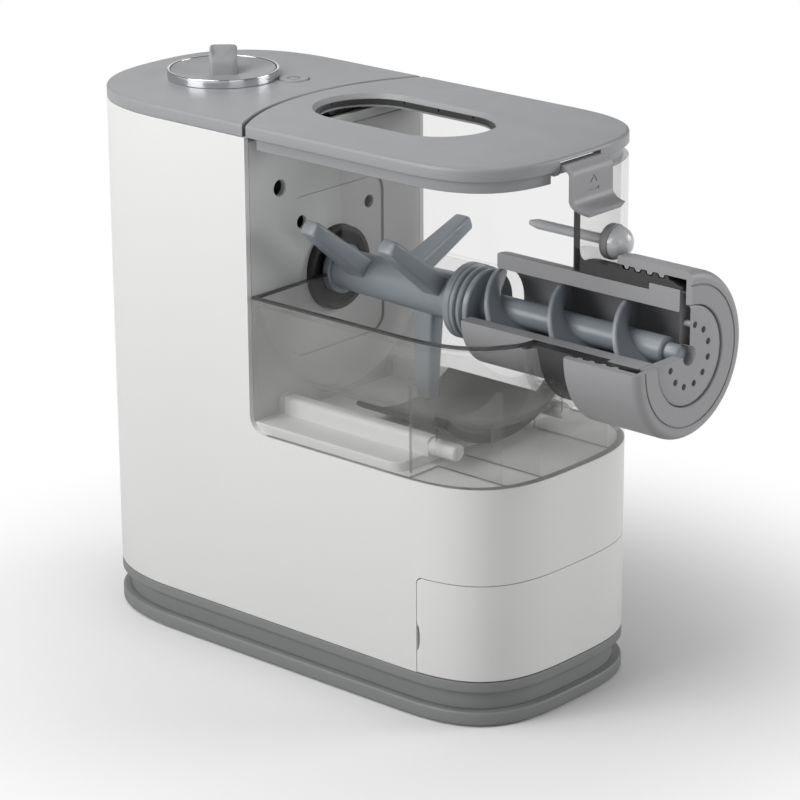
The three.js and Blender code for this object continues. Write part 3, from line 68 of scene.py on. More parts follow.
# Faces between rows and columns of a grid of points, row by row
def gridFaces(rows, columns, closeRows, closeColumns):
    rowIds = np.arange(rows if closeRows else rows - 1)
    columnIds = np.arange(columns if closeColumns else columns - 1)
    r, c = np.meshgrid(rowIds, columnIds, indexing="ij")
    rNext, cNext = (r + 1) % rows, (c + 1) % columns
    quads = np.stack([r * columns + c, r * columns + cNext, rNext * columns + cNext, rNext * columns + c], -1)
    return quads.reshape(-1, 4).tolist()


# Merges doubles and turns every face outwards
def tidied(points, faces):
    shape = bmesh.new()
    corners = [shape.verts.new(p) for p in np.asarray(points, float).reshape(-1, 3)]
    for face in faces:
        try:
            shape.faces.new([corners[i] for i in face])
        except ValueError:
            pass
    bmesh.ops.remove_doubles(shape, verts=shape.verts, dist=1e-3)
    bmesh.ops.dissolve_degenerate(shape, edges=shape.edges, dist=1e-4)
    bmesh.ops.recalc_face_normals(shape, faces=shape.faces)
    shape.verts.index_update()
    result = (np.array([v.co[:] for v in shape.verts]), [[v.index for v in f.verts] for f in shape.faces])
    shape.free()
    return result


# A closed outline carried through several levels, with a flat face at each end
def loft(rings):
    rings = np.asarray(rings, float)
    levels, count = rings.shape[:2]
    faces = gridFaces(levels, count, False, True)
    faces += [list(range(count)), [(levels - 1) * count + i for i in range(count)]]
    return tidied(rings, faces)


def upright(outlines):
    # outlines in plan at several heights, lofted
    return loft([np.c_[outline, np.full(len(outline), z)] for z, outline in outlines])


def block(x0, x1, y0, y1, z0, z1):
    outline = np.array([[x0, y0], [x1, y0], [x1, y1], [x0, y1]])
    return upright([(z0, outline), (z1, outline)])


# Rings about an upright axis: x = middle + r cos a, y = side + r sin a
def circles(profile, x, y, steps):
    a = np.linspace(0, 2 * np.pi, steps, endpoint=False)
    return np.array([np.c_[x + r * np.cos(a), y + r * np.sin(a), np.full(steps, z)] for z, r in profile])


def standing(profile, x, y, steps=64):
    # pairs of height and radius turned about an upright axis
    return loft(circles(profile, x, y, steps))


def post(low, high, radius, x, y, steps=40):
    return standing([(low, radius), (high, radius)], x, y, steps)


def acrossRod(profile, x, z, steps):
    # pairs of distance and radius turned about an axis along Y
    a = np.linspace(0, 2 * np.pi, steps, endpoint=False)
    return loft([np.c_[x + r * np.cos(a), np.full(steps, y), z + r * np.sin(a)] for y, r in profile])


# Rings about an axis along X: y = side + r cos a, z = height + r sin a, with one radius or many to a ring
def ringsAlong(along, radius, angles, side=0.0, height=axisHeight):
    radius = np.reshape(radius, (len(along), -1))
    x, radius, angles = np.broadcast_arrays(np.reshape(along, (-1, 1)), radius, angles)
    return np.stack([x, side + radius * np.cos(angles), height + radius * np.sin(angles)], -1)


def lyingRod(profile, y=0.0, z=axisHeight, steps=64):
    # pairs of distance and radius turned about an axis along X
    along, radius = np.asarray(profile, float).T
    return loft(ringsAlong(along, radius, np.radians(360.0 * np.arange(steps) / steps), y, z))


def rod(x0, x1, radius, y=0.0, z=axisHeight, steps=64):
    return lyingRod([(x0, radius), (x1, radius)], y, z, steps)


def openDegrees(steps):
    # the three quarters of a turn that the cut leaves, from the near side round the bottom to the top
    return 180.0 + 270.0 * np.arange(steps + 1) / steps


# A closed section carried round those three quarters, with a flat face at each end
def openRing(along, radius, degrees):
    points = ringsAlong(along, radius, np.radians(degrees))
    rows, columns = points.shape[:2]
    faces = gridFaces(rows, columns, True, False)
    faces += [[i * columns for i in range(rows)], [i * columns + columns - 1 for i in range(rows)]]
    return tidied(points, faces)


def prismAcross(outline, y0, y1):
    # an outline in x and z carried along Y
    x, z = np.asarray(outline, float).T
    return loft([np.c_[x, np.full(len(x), y), z] for y in (y0, y1)])


def prismAlong(outline, x0, x1):
    # an outline in y and z carried along X
    return loft([np.c_[np.full(len(outline), x), outline] for x in (x0, x1)])


def arc(a, b, radius, first, last, steps, tall=None):
    # part of a circle about (a, b), or of an ellipse where it is given another height
    turn = np.linspace(first, last, steps)
    return np.c_[a + radius * np.cos(turn), b + (tall or radius) * np.sin(turn)]


def rounded(end, radius, edge, steps=5):
    # pairs of distance and radius over the rounded edge at the end of a turned profile
    return arc(radius - edge, end - edge, edge, 0, np.pi / 2, steps)[:, ::-1]


def roundedBox(a0, a1, b0, b1, radius, steps=8):
    # a rectangle whose corners are quarter circles
    quarter = np.linspace(0, np.pi / 2, steps)
    corners = [(a1 - radius, b1 - radius, 0), (a0 + radius, b1 - radius, 1), (a0 + radius, b0 + radius, 2),
               (a1 - radius, b0 + radius, 3)]
    return np.concatenate([np.c_[a + radius * np.cos(quarter + k * np.pi / 2),
                                 b + radius * np.sin(quarter + k * np.pi / 2)] for a, b, k in corners])


def centredBox(halfWide, halfTall, radius, steps):
    return roundedBox(-halfWide, halfWide, -halfTall, halfTall, radius, steps)


def stadium(rear, front, half, steps=24):
    ends = [(front - half, half), (rear + half, -half)]
    return np.concatenate([arc(x, 0, r, -np.pi / 2, np.pi / 2, steps) for x, r in ends])


def moved(solid, x=0.0, y=0.0, z=0.0):
    return solid[0] + (x, y, z), solid[1]


def turned(solid, axis, degrees):
    # a rotation matrix about one axis
    a = math.radians(degrees)
    i, j = {"x": (1, 2), "y": (2, 0), "z": (0, 1)}[axis]
    matrix = np.eye(3)
    matrix[i, i] = matrix[j, j] = math.cos(a)
    matrix[j, i], matrix[i, j] = math.sin(a), -math.sin(a)
    return solid[0] @ matrix.T, solid[1]


def placeholder(solid):
    mesh = bpy.data.meshes.new("working")
    mesh.from_pydata(solid[0].tolist(), [], solid[1])
    piece = bpy.data.objects.new("working", mesh)
    bpy.context.scene.collection.objects.link(piece)
    return piece


# One solid joined with, cut by or kept inside others, by the Boolean modifier, applied
def combined(kind, solid, others):
    target = placeholder(solid)
    tools = [placeholder(other) for other in others]
    for tool in tools:
        modifier = target.modifiers.new("shape", "BOOLEAN")
        modifier.operation = kind
        modifier.solver = "EXACT"
        modifier.object = tool
    shown = target.evaluated_get(bpy.context.evaluated_depsgraph_get())
    mesh = shown.to_mesh()
    points = np.empty(len(mesh.vertices) * 3)
    mesh.vertices.foreach_get("co", points)
    result = (points.reshape(-1, 3), [list(p.vertices) for p in mesh.polygons])
    shown.to_mesh_clear()
    for piece in [target, *tools]:
        bpy.data.meshes.remove(piece.data)
    return result


def cut(solid, *others):
    return combined("DIFFERENCE", solid, others)


def fused(solid, *others):
    return combined("UNION", solid, others)


def kept(solid, *others):
    return combined("INTERSECT", solid, others)


# Superellipse end of the plan outline: |x/a|^n + |y/b|^n = 1, evened out along its length
def endCurve(start, reach, half, power, count=72):
    angle = np.linspace(-1, 1, 801) * np.pi / 2
    along = np.abs(np.cos(angle)) ** (2 / power)
    across = np.sign(angle) * np.abs(np.sin(angle)) ** (2 / power)
    curve = np.stack([start + reach * along, half * across], 1)
    travel = np.r_[0, np.cumsum(np.hypot(*np.diff(curve, axis=0).T))]
    even = np.linspace(0, travel[-1], count)
    return np.stack([np.interp(even, travel, curve[:, 0]), np.interp(even, travel, curve[:, 1])], 1)


def plan(inset=0.0, frontInset=None):
    s = outlineSizes
    frontInset = inset if frontInset is None else frontInset
    half = s["width"] / 2 - inset
    front = endCurve(s["frontStart"], s["front"] - frontInset - s["frontStart"], half, s["frontPower"])
    rear = endCurve(s["rearStart"], s["rear"] + inset - s["rearStart"], -half, s["rearPower"])
    return np.concatenate([front, rear])


# Heights and insets of a wall with a rounded lower and upper edge
def edgeLevels(bottom, top, lower, upper, steps=5):
    t = np.linspace(0, np.pi / 2, steps)
    low = zip(bottom + lower * (1 - np.cos(t)), lower * (1 - np.sin(t))) if lower else [(bottom, 0.0)]
    high = zip(top - upper * (1 - np.sin(t)), upper * (1 - np.cos(t))) if upper else [(top, 0.0)]
    return [*low, *high]


def planSlab(bottom, top, lower=0.0, upper=0.0, inset=0.0, frontInset=None):
    return upright([(z, plan(inset + edge, None if frontInset is None else frontInset + edge))
                    for z, edge in edgeLevels(bottom, top, lower, upper)])


def cutQuarter():
    return block(-far, far, -far, 0, axisHeight, axisHeight + far)


def halfSpace(x):
    return block(x, far, -far, far, 0, far)


# Materials
def nodeTree(name):
    material = bpy.data.materials.new(name)
    material.use_nodes = True
    return material, material.node_tree, material.node_tree.nodes["Principled BSDF"]


def linear(colour):
    # a screen colour of 0 to 255 in linear light
    c = np.asarray(colour, float) / 255.0
    return [*np.where(c <= 0.04045, c / 12.92, ((c + 0.055) / 1.055) ** 2.4), 1.0]


# Sets inputs: a node with the name of its output is a link, and anything else is a value
def feed(tree, node, inputs):
    for key, value in inputs.items():
        if isinstance(value, tuple) and isinstance(value[0], bpy.types.Node):
            tree.links.new(value[0].outputs[value[1]], node.inputs[key])
        else:
            node.inputs[key].default_value = value
    return node


def addNode(tree, kind, inputs={}, **settings):
    node = tree.nodes.new("ShaderNode" + kind)
    for key, value in settings.items():
        setattr(node, key, value)
    return feed(tree, node, inputs)


def mapRange(tree, source, fromMin, fromMax, toMin, toMax, **settings):
    values = {"Value": source, "From Min": fromMin, "From Max": fromMax, "To Min": toMin, "To Max": toMax}
    return addNode(tree, "MapRange", values, **settings)


def noiseOn(tree, place, scale, detail=2.0, roughness=0.5):
    # noise on the piece's own coordinates, or on another node's vector
    values = {"Vector": place, "Scale": scale, "Detail": detail, "Roughness": roughness}
    return addNode(tree, "TexNoise", values)


# Moulded plastic: slow colour drift, fine spark-eroded grain in the bump, and streaks in the roughness
def mouldedPlastic(name, colour, roughness, grain=0.12, grainScale=2600, drift=0.03, coat=0.0, rub=0.04,
                   sheen=0.0):
    material, tree, shader = nodeTree(name)
    place = (addNode(tree, "TexCoord"), "Object")
    slow = noiseOn(tree, place, 14.0, 3.0)
    fine = noiseOn(tree, place, grainScale)
    streak = noiseOn(tree, place, 55.0, 6.0, 0.7)
    base = np.array(linear(colour)[:3])
    tone = addNode(tree, "Mix", {"Factor": (slow, "Fac"), "A": [*(base * (1 - drift)), 1.0],
                                 "B": [*np.minimum(base * (1 + drift), 1.0), 1.0]}, data_type="RGBA")
    span = mapRange(tree, (streak, "Fac"), 0.3, 0.7, roughness - rub, roughness + rub)
    bump = addNode(tree, "Bump", {"Height": (fine, "Fac"), "Strength": grain, "Distance": 0.00012})
    feed(tree, shader, {"Base Color": (tone, "Result"), "Roughness": (span, "Result"),
                        "Normal": (bump, "Normal"), "IOR": 1.5, "Coat Weight": coat, "Coat Roughness": 0.15,
                        "Sheen Weight": sheen})
    return material


# The dark line of the sawn wall, whose middle lies a little under the cut. Its lengths are in metres
sawnSizes = {"under": 0.0005, "half": 0.0006, "nearSide": 0.0001, "colour": (52, 51, 52), "dense": 0.9}


def sawnLine(tree, place):
    # one on that line, else nothing
    s = sawnSizes
    middle = toFrame((0, 0, axisHeight))[2] - s["under"]
    axes = addNode(tree, "SeparateXYZ", {0: place})
    level = addNode(tree, "Math", {0: (axes, "Z"), 1: middle, 2: s["half"]}, operation="COMPARE")
    near = addNode(tree, "Math", {0: (axes, "Y"), 1: s["nearSide"]}, operation="LESS_THAN")
    return addNode(tree, "Math", {0: (level, "Value"), 1: (near, "Value")}, operation="MULTIPLY"), "Value"


# Clear smoky plastic: see-through face on, denser towards its edges, with faint polishing haze.
# Where it is sawn level, the dark of the sawn face shows through the top millimetre of the near wall
def clearPlastic(name, colour, faceOn, edgeOn, roughness, sawn=False):
    material, tree, shader = nodeTree(name)
    place = (addNode(tree, "TexCoord"), "Object")
    haze = noiseOn(tree, place, 38.0, 5.0)
    rim = addNode(tree, "LayerWeight", {"Blend": 0.32})
    alpha = (mapRange(tree, (rim, "Facing"), 0.0, 1.0, faceOn, edgeOn), "Result")
    tint = linear(colour)
    if sawn:
        dark = sawnLine(tree, place)
        alpha = (addNode(tree, "Mix", {"Factor": dark, "A": alpha, "B": sawnSizes["dense"]}), "Result")
        tint = (addNode(tree, "Mix", {"Factor": dark, "A": tint, "B": linear(sawnSizes["colour"])},
                        data_type="RGBA"), "Result")
    shine = mapRange(tree, (haze, "Fac"), 0.35, 0.7, roughness, roughness + 0.06)
    feed(tree, shader, {"Alpha": alpha, "Base Color": tint, "Roughness": (shine, "Result"), "IOR": 1.5})
    return material


# Turned or drawn metal: streaks across the grain change the roughness and the bump
def workedMetal(name, colour, roughness, strength=0.2):
    material, tree, shader = nodeTree(name)
    place = (addNode(tree, "TexCoord"), "Object")
    scale = addNode(tree, "Mapping", {"Vector": place, "Scale": (4.0, 400.0, 400.0)})
    lines = noiseOn(tree, (scale, "Vector"), 3.0, 4.0)
    span = mapRange(tree, (lines, "Fac"), 0.0, 1.0, roughness * 0.7, roughness * 1.35)
    bump = addNode(tree, "Bump", {"Height": (lines, "Fac"), "Strength": strength, "Distance": 0.00005})
    feed(tree, shader, {"Base Color": linear(colour), "Metallic": 1.0, "Roughness": (span, "Result"),
                        "Normal": (bump, "Normal")})
    return material


# Soft rubber: matt, with a powdery bloom and a fine pebble
def softRubber(name, colour):
    return mouldedPlastic(name, colour, 0.72, grain=0.25, grainScale=1500, drift=0.12, rub=0.08, sheen=0.15)


# Circuit board: green lacquer with paler tracks under it
def lacqueredBoard(name, colour, trackColour):
    material, tree, shader = nodeTree(name)
    place = (addNode(tree, "TexCoord"), "Object")
    tracks = addNode(tree, "TexBrick", {"Vector": place, "Scale": 70.0, "Mortar Size": 0.05,
                                        "Color1": linear(colour), "Color2": linear(colour),
                                        "Mortar": linear(trackColour)})
    feed(tree, shader, {"Base Color": (tracks, "Color"), "Roughness": 0.35})
    return material


finishes = {
    "shell_white": mouldedPlastic("satinWhiteShell", (230, 230, 229), 0.42, grain=0.05, drift=0.008),
    "cover_grey": mouldedPlastic("satinGreyCover", (156, 157, 159), 0.42, grain=0.06, drift=0.015),
    "base_grey": mouldedPlastic("matGreyBase", (132, 134, 133), 0.5, drift=0.02),
    "nut_grey": mouldedPlastic("satinGreyNut", (158, 158, 160), 0.44, grain=0.08, drift=0.02),
    "pale_knob": mouldedPlastic("palePolishedKnob", (214, 215, 217), 0.22, grain=0.02, drift=0.01, coat=0.4),
    "smoky_clear": clearPlastic("smokyClear", (172, 172, 169), 0.035, 0.36, 0.09, sawn=True),
    "dark_rubber": softRubber("darkRubber", (44, 43, 42)),
    "paddle_blue": mouldedPlastic("blueGreyPaddle", (146, 152, 158), 0.36, grain=0.06, coat=0.2),
    "steel": workedMetal("turnedSteel", (196, 198, 202), 0.28),
    "bright_trim": workedMetal("platedTrim", (225, 226, 229), 0.12, strength=0.05),
    "gear_nylon": mouldedPlastic("naturalNylon", (218, 214, 202), 0.45, grain=0.1),
    "motor_steel": workedMetal("platedMotorSteel", (150, 154, 158), 0.38),
    "magnet_dark": mouldedPlastic("sinteredFerrite", (74, 74, 77), 0.7, grain=0.5, grainScale=900, drift=0.1),
    "black_plastic": mouldedPlastic("blackFilledPlastic", (41, 41, 43), 0.5, grain=0.15, drift=0.05),
    "board_green": lacqueredBoard("greenBoard", (42, 86, 58), (96, 132, 84)),
}
# The face plate's finish is the cover's grey painted much lighter. This is painted light that makes up for
# the shade the plate stands in, under the lid and behind the clear chamber
faceGreyPaintedLight = mouldedPlastic("satinGreyFacePaintedLight", (214, 215, 214), 0.46, grain=0.05, drift=0.012)
clearEdge = clearPlastic("smokyEdge", (96, 97, 98), 0.5, 0.8, 0.16)
cutEdge = mouldedPlastic("darkCutEdge", sawnSizes["colour"], 0.3, grain=0.03, drift=0.04)
for part in frame["record"]["subparts"]:
    for place in frame["nodes"][part["node"]].material_slots:
        place.material = finishes[part["material_slot"]]
print("finishes made")


# A piece that rides on a body, stands for nodes, and has the finish of its slot unless given another
def placed(name, mesh, slot, body, *nodes, finish=None):
    mesh.materials.append(finish or finishes[slot])
    piece = bpy.data.objects.new(name, mesh)
    bpy.context.scene.collection.objects.link(piece)
    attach(piece, body)
    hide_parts(*nodes)
    return piece


# A finished piece from one or more solids. Edges sharper than the crease angle stay crisp
def makePiece(name, solids, slot, body, *nodes, finish=None, crease=32):
    faces, offset = [], 0
    for solidPoints, solidFaces in solids:
        faces += [[i + offset for i in face] for face in solidFaces]
        offset += len(solidPoints)
    mesh = bpy.data.meshes.new(name)
    mesh.from_pydata(toFrame(np.concatenate([points for points, _ in solids])).tolist(), [], faces)
    mesh.validate()
    mesh.shade_smooth()
    mesh.set_sharp_from_angle(angle=math.radians(crease))
    return placed(name, mesh, slot, body, *nodes, finish=finish)


# Base: feet, foot ring with its fine lip, and the tray with an inset waist and a flush band
baseSizes = {"ringBottom": 0.8, "ringTop": 7.6, "ringWidth": 18.0, "waistInset": 4.0, "waistTop": 17.6,
             "bandTop": 23.1, "footRadius": 6.5, "footX": (-76.0, 98.0), "footY": 55.5, "wall": 2.5,
             "gap": 0.3, "postRadius": 6.5, "screwHole": 1.9, "screwHead": 3.8, "railY": 40.0,
             "railHalf": 2.0, "railTop": 25.2}
footPlaces = [(x, side * baseSizes["footY"]) for x in baseSizes["footX"] for side in (-1, 1)]


def atFeet(low, high, radius, steps=16):
    # an upright cylinder over each foot
    return [post(low, high, radius, x, y, steps) for x, y in footPlaces]


def makeFeet():
    r = baseSizes["footRadius"]
    for index, (x, y) in enumerate(footPlaces):
        pad = standing([(0, r - 1.4), (0.25, r - 0.5), (0.8, r), (3.0, r)], x, y, 40)
        groove = cut(post(-1, 0.35, r - 2.6, x, y), post(-1, 1, r - 3.4, x, y))
        makePiece(f"footPad{index + 1}", [cut(pad, groove)], "dark_rubber", "machine",
                  f"rubber_foot_{index + 1}")


def makeBase():
    b = baseSizes
    inset = b["waistInset"]
    ring = cut(planSlab(b["ringBottom"], b["ringTop"], lower=0.8, upper=1.1),
               planSlab(-2, 20, inset=b["ringWidth"]), *atFeet(-1, 3.3, b["footRadius"] + b["gap"], 40),
               *atFeet(0, 5.7, b["screwHead"], 24), *atFeet(0, 20, b["screwHole"]))
    makePiece("footRing", [ring], "base_grey", "machine", "foot_ring")
    bottom = b["ringTop"] + b["gap"]
    waist = planSlab(bottom, b["waistTop"] + 1, inset=inset)
    band = planSlab(b["waistTop"], b["bandTop"], lower=0.9, upper=0.35)
    rails = [block(25, 138, side * b["railY"] - b["railHalf"], side * b["railY"] + b["railHalf"], bottom + 1,
                   b["railTop"]) for side in (-1, 1)]
    posts = [kept(solid, planSlab(bottom, 24, inset=inset))
             for solid in atFeet(bottom + 1, b["bandTop"], b["postRadius"], 32)]
    tray = cut(fused(waist, band), planSlab(bottom + b["wall"], 40, inset=inset + b["wall"]))
    tray = cut(fused(tray, *rails, *posts), *atFeet(0, 40, b["screwHole"]))
    makePiece("baseTray", [tray], "base_grey", "machine", "base_tray")


makeFeet()
makeBase()
print("base made")

# White housing: tower walls, deck with its plinth, bars and pegs, and the bay of the drawer
housingSizes = {"bottom": 23.4, "wall": 2.8, "towerTop": 268.5, "deckThick": 8.0, "spandrel": 9.0,
                "faceRear": -6.0, "faceFront": -3.3, "faceFoot": 113.0, "bossRadius": 6.8, "cordZ": 45.0,
                "cordHole": 5.5, "plinthTop": 125.6, "plinthRear": -2.5, "plinthHalf": 61.9,
                "plinthFront": 95.0, "plinthCorner": 8.0, "plinthEdge": 0.8, "barY": 39.8, "barHalf": 4.4,
                "barTop": 134.3, "barFront": 97.5, "barEdge": 2.6, "barNose": 1.2, "pegZ": 129.4,
                "pegFront": 113.4, "pegEdge": 1.5}
drawerSizes = {"bottom": 23.7, "seam": 107.2, "top": 72.6, "gap": 0.45, "corner": 3.2, "front": 2.8,
               "half": 46.0, "rear": 28.0, "insideFront": 149.6, "floor": 25.5, "wall": 2.5, "wallTop": 66.0,
               "notch": (109.4, 35.0, 48.4), "notchDeep": 1.6, "discX": (60.0, 120.0)}
discSizes = {"centreHole": 4.7, "holeCircle": 14.5, "holes": 12, "hole": 1.6, "spareHoles": 6,
             "spareHole": 3.2}


def drawerOutline(gap, bottom):
    # side view of the drawer's front: its upper rear corner is rounded
    d = drawerSizes
    x0, top, r = d["seam"] + gap, d["top"] - gap, d["corner"]
    corner = arc(x0 + r, top - r, r, np.pi, np.pi / 2, 10)
    return np.concatenate([[[x0, bottom]], corner, [[far, top], [far, bottom]]])


def plinthOutline(inset):
    # plan of the plinth, which runs straight into the tower
    h = housingSizes
    half = h["plinthHalf"] - inset
    ring = roundedBox(-40, h["plinthFront"] - inset, -half, half, h["plinthCorner"] - inset, 14)
    ring[:, 0] = np.maximum(ring[:, 0], h["plinthRear"])
    return ring


# Along each side of the deck: a bar with a rounded crown and nose, and a round peg in front of it
def deckBars():
    h = housingSizes
    w, low = h["barHalf"], h["plinthTop"] - 0.6
    middle = (low + h["barTop"]) / 2
    nose = arc(0.88, h["barFront"] - h["barNose"], 0.12, 0, np.pi / 2, 8, tall=h["barNose"])[:, ::-1]
    bars = []
    for y in (-h["barY"], h["barY"]):
        crown = roundedBox(y - w, y + w, low, h["barTop"], h["barEdge"])[:16]
        section = np.r_[[[y + w, low]], crown, [[y - w, low]]] - (y, middle)
        bars.append(loft([np.c_[np.full(len(section), x), section * scale + (y, middle)]
                          for x, scale in [(h["plinthRear"], 1.0), *nose]]))
        peg = [(h["barFront"] - 4, w - 0.2), *rounded(h["pegFront"], w - 0.2, h["pegEdge"], 8)]
        bars.append(lyingRod(peg, y=y, z=h["pegZ"], steps=40))
    return bars


def makeHousing():
    h = housingSizes
    r = h["spandrel"]
    room = np.concatenate([arc(r, deckTop + r, r, np.pi, 1.5 * np.pi, 14),
                           [[far, deckTop], [far, far], [0, far]]])
    shell = cut(planSlab(h["bottom"], h["towerTop"], lower=0.35, upper=0.3), prismAcross(room, -far, far))
    deckBottom = deckTop - h["deckThick"]
    deck = [[h["faceRear"], deckBottom], [far, deckBottom], [far, deckTop], [h["faceFront"], deckTop],
            [h["faceFront"], h["faceFoot"]], [h["faceRear"], h["faceFoot"]]]
    hollow = cut(planSlab(h["bottom"] - 5, h["towerTop"] + 5, inset=h["wall"]), prismAcross(deck, -far, far))
    shell = cut(shell, hollow, prismAcross(drawerOutline(0, -far), -far, far),
                rod(-140, -100, h["cordHole"], z=h["cordZ"], steps=32))
    plinth = [(z, plinthOutline(inset))
              for z, inset in edgeLevels(deckTop - 1, h["plinthTop"], 0, h["plinthEdge"])]
    shell = fused(shell, upright(plinth))
    bosses = [kept(solid, planSlab(20, 50, inset=0.2))
              for solid in atFeet(h["bottom"], 40, h["bossRadius"], 32)]
    shell = cut(fused(shell, *bosses), *atFeet(0, 37, baseSizes["screwHole"]))
    makePiece("housing", [shell, *deckBars()], "shell_white", "machine", "housing_shell")


def makeDrawer():
    d = drawerSizes
    bottom, half, wall = d["bottom"], d["half"], d["wall"]
    front = kept(planSlab(bottom, d["top"] + 3, lower=0.3),
                 prismAcross(drawerOutline(d["gap"], bottom - 4), -far, far))
    front = cut(front, planSlab(bottom - 5, 90, inset=d["front"]))
    tray = cut(kept(block(d["rear"], far, -half, half, d["floor"], d["wallTop"]),
                    planSlab(20, 80, inset=1.4)),
               block(d["rear"] + wall, d["insideFront"], wall - half, half - wall, d["floor"] + wall, 80))
    x, low, high = d["notch"]
    curve = arc(x - d["notchDeep"], (low + high) / 2, d["notchDeep"], -np.pi / 2, np.pi / 2, 12,
                tall=(high - low) / 2)
    mouth = np.concatenate([[[80, low]], curve, [[80, high]]])
    front = cut(front, prismAcross(mouth, -far, -half - 2.6))
    makePiece("drawer", [fused(front, tray)], "shell_white", "drawer", "storage_drawer")


def holePlaces(count, offset=0.0):
    # places on a circle round a disc's centre
    a = 2 * np.pi * (np.arange(count) + offset) / count
    return discSizes["holeCircle"] * np.c_[np.cos(a), np.sin(a)]


def makeSpareDiscs():
    d, s = drawerSizes, discSizes
    z = d["floor"] + d["wall"] + 0.3
    for index, x in enumerate(d["discX"]):
        disc = standing([(z, 28.4), (z + 0.6, 29.0), (z + 2.4, 29.0), (z + 3, 28.4), (z + 3, 24.2),
                         (z + 5.4, 24.2), (z + 6, 23.6)], x, 0, 72)
        holes = [post(z - 4, z + 12, s["spareHole"], x + a, b, 24) for a, b in holePlaces(s["spareHoles"])]
        disc = cut(disc, post(z - 4, z + 12, s["centreHole"], x, 0, 32), *holes)
        makePiece(f"spareDisc{index + 1}", [disc], "nut_grey", "drawer", f"spare_disc_{index + 1}")


makeHousing()
makeDrawer()
makeSpareDiscs()
print("housing and drawer made")

# Face plate of the tower, with a shallow panel, two locating holes and two vents.
# The panel's numbers are its half width, ends, corner and depth, and a hole's are its side, height and radius
faceSizes = {"half": 61.4, "bottom": 121.0, "top": 265.9, "thick": 3.0,
             "panel": (34.4, 150.0, 231.6, 9.0, 1.0), "groove": 0.8, "locate": (40.3, 238.8, 4.0),
             "vent": (24.5, 218.3, 3.3), "driveHole": 21.5}


def makeFacePlate():
    f = faceSizes
    half, low, high, corner, deep = f["panel"]
    g = f["groove"]
    edge = roundedBox(-half, half, low, high, corner, 12)
    groove = cut(prismAlong(edge, -deep - g, 5),
                 prismAlong(roundedBox(g - half, half - g, low + g, high - g, corner - g, 12), -5, 9))
    places = [(side * y, z, r) for y, z, r in (f["locate"], f["vent"]) for side in (-1, 1)]
    holes = [rod(-9, 9, r, y, z, 36) for y, z, r in places]
    rims = [lyingRod([(-0.5, r), (0.6, r + 1.1)], y, z, 36) for y, z, r in places]
    plate = cut(block(-f["thick"], 0, -f["half"], f["half"], f["bottom"], f["top"]),
                prismAlong(edge, -deep, 5), groove, rod(-9, 9, f["driveHole"]), *holes, *rims)
    # its finish is the cover's grey painted lighter, as painted light in place of the shade it stands in
    makePiece("towerFace", [plate], "cover_grey", "machine", "back_plate", finish=faceGreyPaintedLight)


makeFacePlate()

# Cover and lid share one edge: a bowed seam, two millimetres wide
seamSizes = {"bow": 19.1, "width": 2.0, "steps": 400}
coverSizes = {"bottom": 268.8, "plateBottom": 271.9, "edge": 1.5, "seamFlare": 0.9, "wall": 3.0,
              "arcWall": 2.5, "arcBottom": 265.9, "armX": (-13.8, -5.7), "armY": 19.0, "armHalf": 3.4,
              "shaftHole": 5.0}
knobSizes = {"x": -76.4, "radius": 28.2, "rim": 279.4, "trim": 1.4, "dish": 276.6, "angle": 131.7}
gripSizes = {"near": 5.5, "back": 8.0, "half": 7.0, "corner": 2.6, "low": 283.0, "high": 289.5, "run": 4.0,
             "levels": ((0, 0), (0.25, 0), (0.5, 0), (0.75, 0), (0.93, 0.15), (0.985, 0.6), (1.0, 1.3))}
buttonSizes = {"x": -45.4, "y": 18.5, "radius": 7.5, "collar": 7.7, "stem": 2.4, "rise": 0.5, "edge": 0.6}
seamRadius = ((outlineSizes["width"] / 2) ** 2 + seamSizes["bow"] ** 2) / (2 * seamSizes["bow"])


def seamDisc(*profile):
    # pairs of height and distance from the middle of the seam, turned about the centre of its bow
    return standing([(z, seamRadius + out) for z, out in profile], seamRadius - seamSizes["bow"], 0,
                    seamSizes["steps"])


def makeCover():
    c, b = coverSizes, buttonSizes
    edge, flare, top = seamSizes["width"] / 2, c["seamFlare"], lidTop + 0.4
    behind = seamDisc((-far, edge + c["arcWall"]), (far, edge + c["arcWall"]))
    hollow = cut(planSlab(c["bottom"] - 3, c["plateBottom"], inset=c["wall"]), behind)
    cover = cut(planSlab(c["bottom"], lidTop, lower=0.3, upper=c["edge"]), hollow)
    arcWall = kept(planSlab(c["arcBottom"], c["plateBottom"] + 0.5, inset=3.1), behind)
    seam = seamDisc((0, edge), (top - flare, edge), (top - flare / 3, edge + flare / 3), (top, edge + flare))
    cover = cut(fused(cover, arcWall), seam)
    well = standing([(250, b["radius"] + 0.3), (lidTop - 0.5, b["radius"] + 0.3),
                     (lidTop + 0.2, b["radius"] + 1.0)],
                    b["x"], b["y"], 56)
    slots = [block(*c["armX"], y - c["armHalf"], y + c["armHalf"], 260, c["plateBottom"])
             for y in (-c["armY"], c["armY"])]
    cover = cut(cover, well, post(250, lidTop + 4, c["shaftHole"], knobSizes["x"], 0), *slots)
    makePiece("topCover", [cover], "cover_grey", "machine", "top_cover")


def makeGrip():
    # a block whose top slopes up from its near edge, turned to where the dial points
    k, g = knobSizes, gripSizes
    outline = roundedBox(-g["near"], g["back"], -g["half"], g["half"], g["corner"], 10)
    root = k["dish"] - 0.6
    rings = []
    for share, inset in g["levels"]:
        ring = outline * (1 - inset / g["half"])
        slope = g["low"] + (ring[:, 0] + g["near"]) * (g["high"] - g["low"]) / g["run"]
        rings.append((root + (np.clip(slope, g["low"], g["high"]) - root) * share, ring))
    return moved(turned(upright(rings), "z", k["angle"]), k["x"])


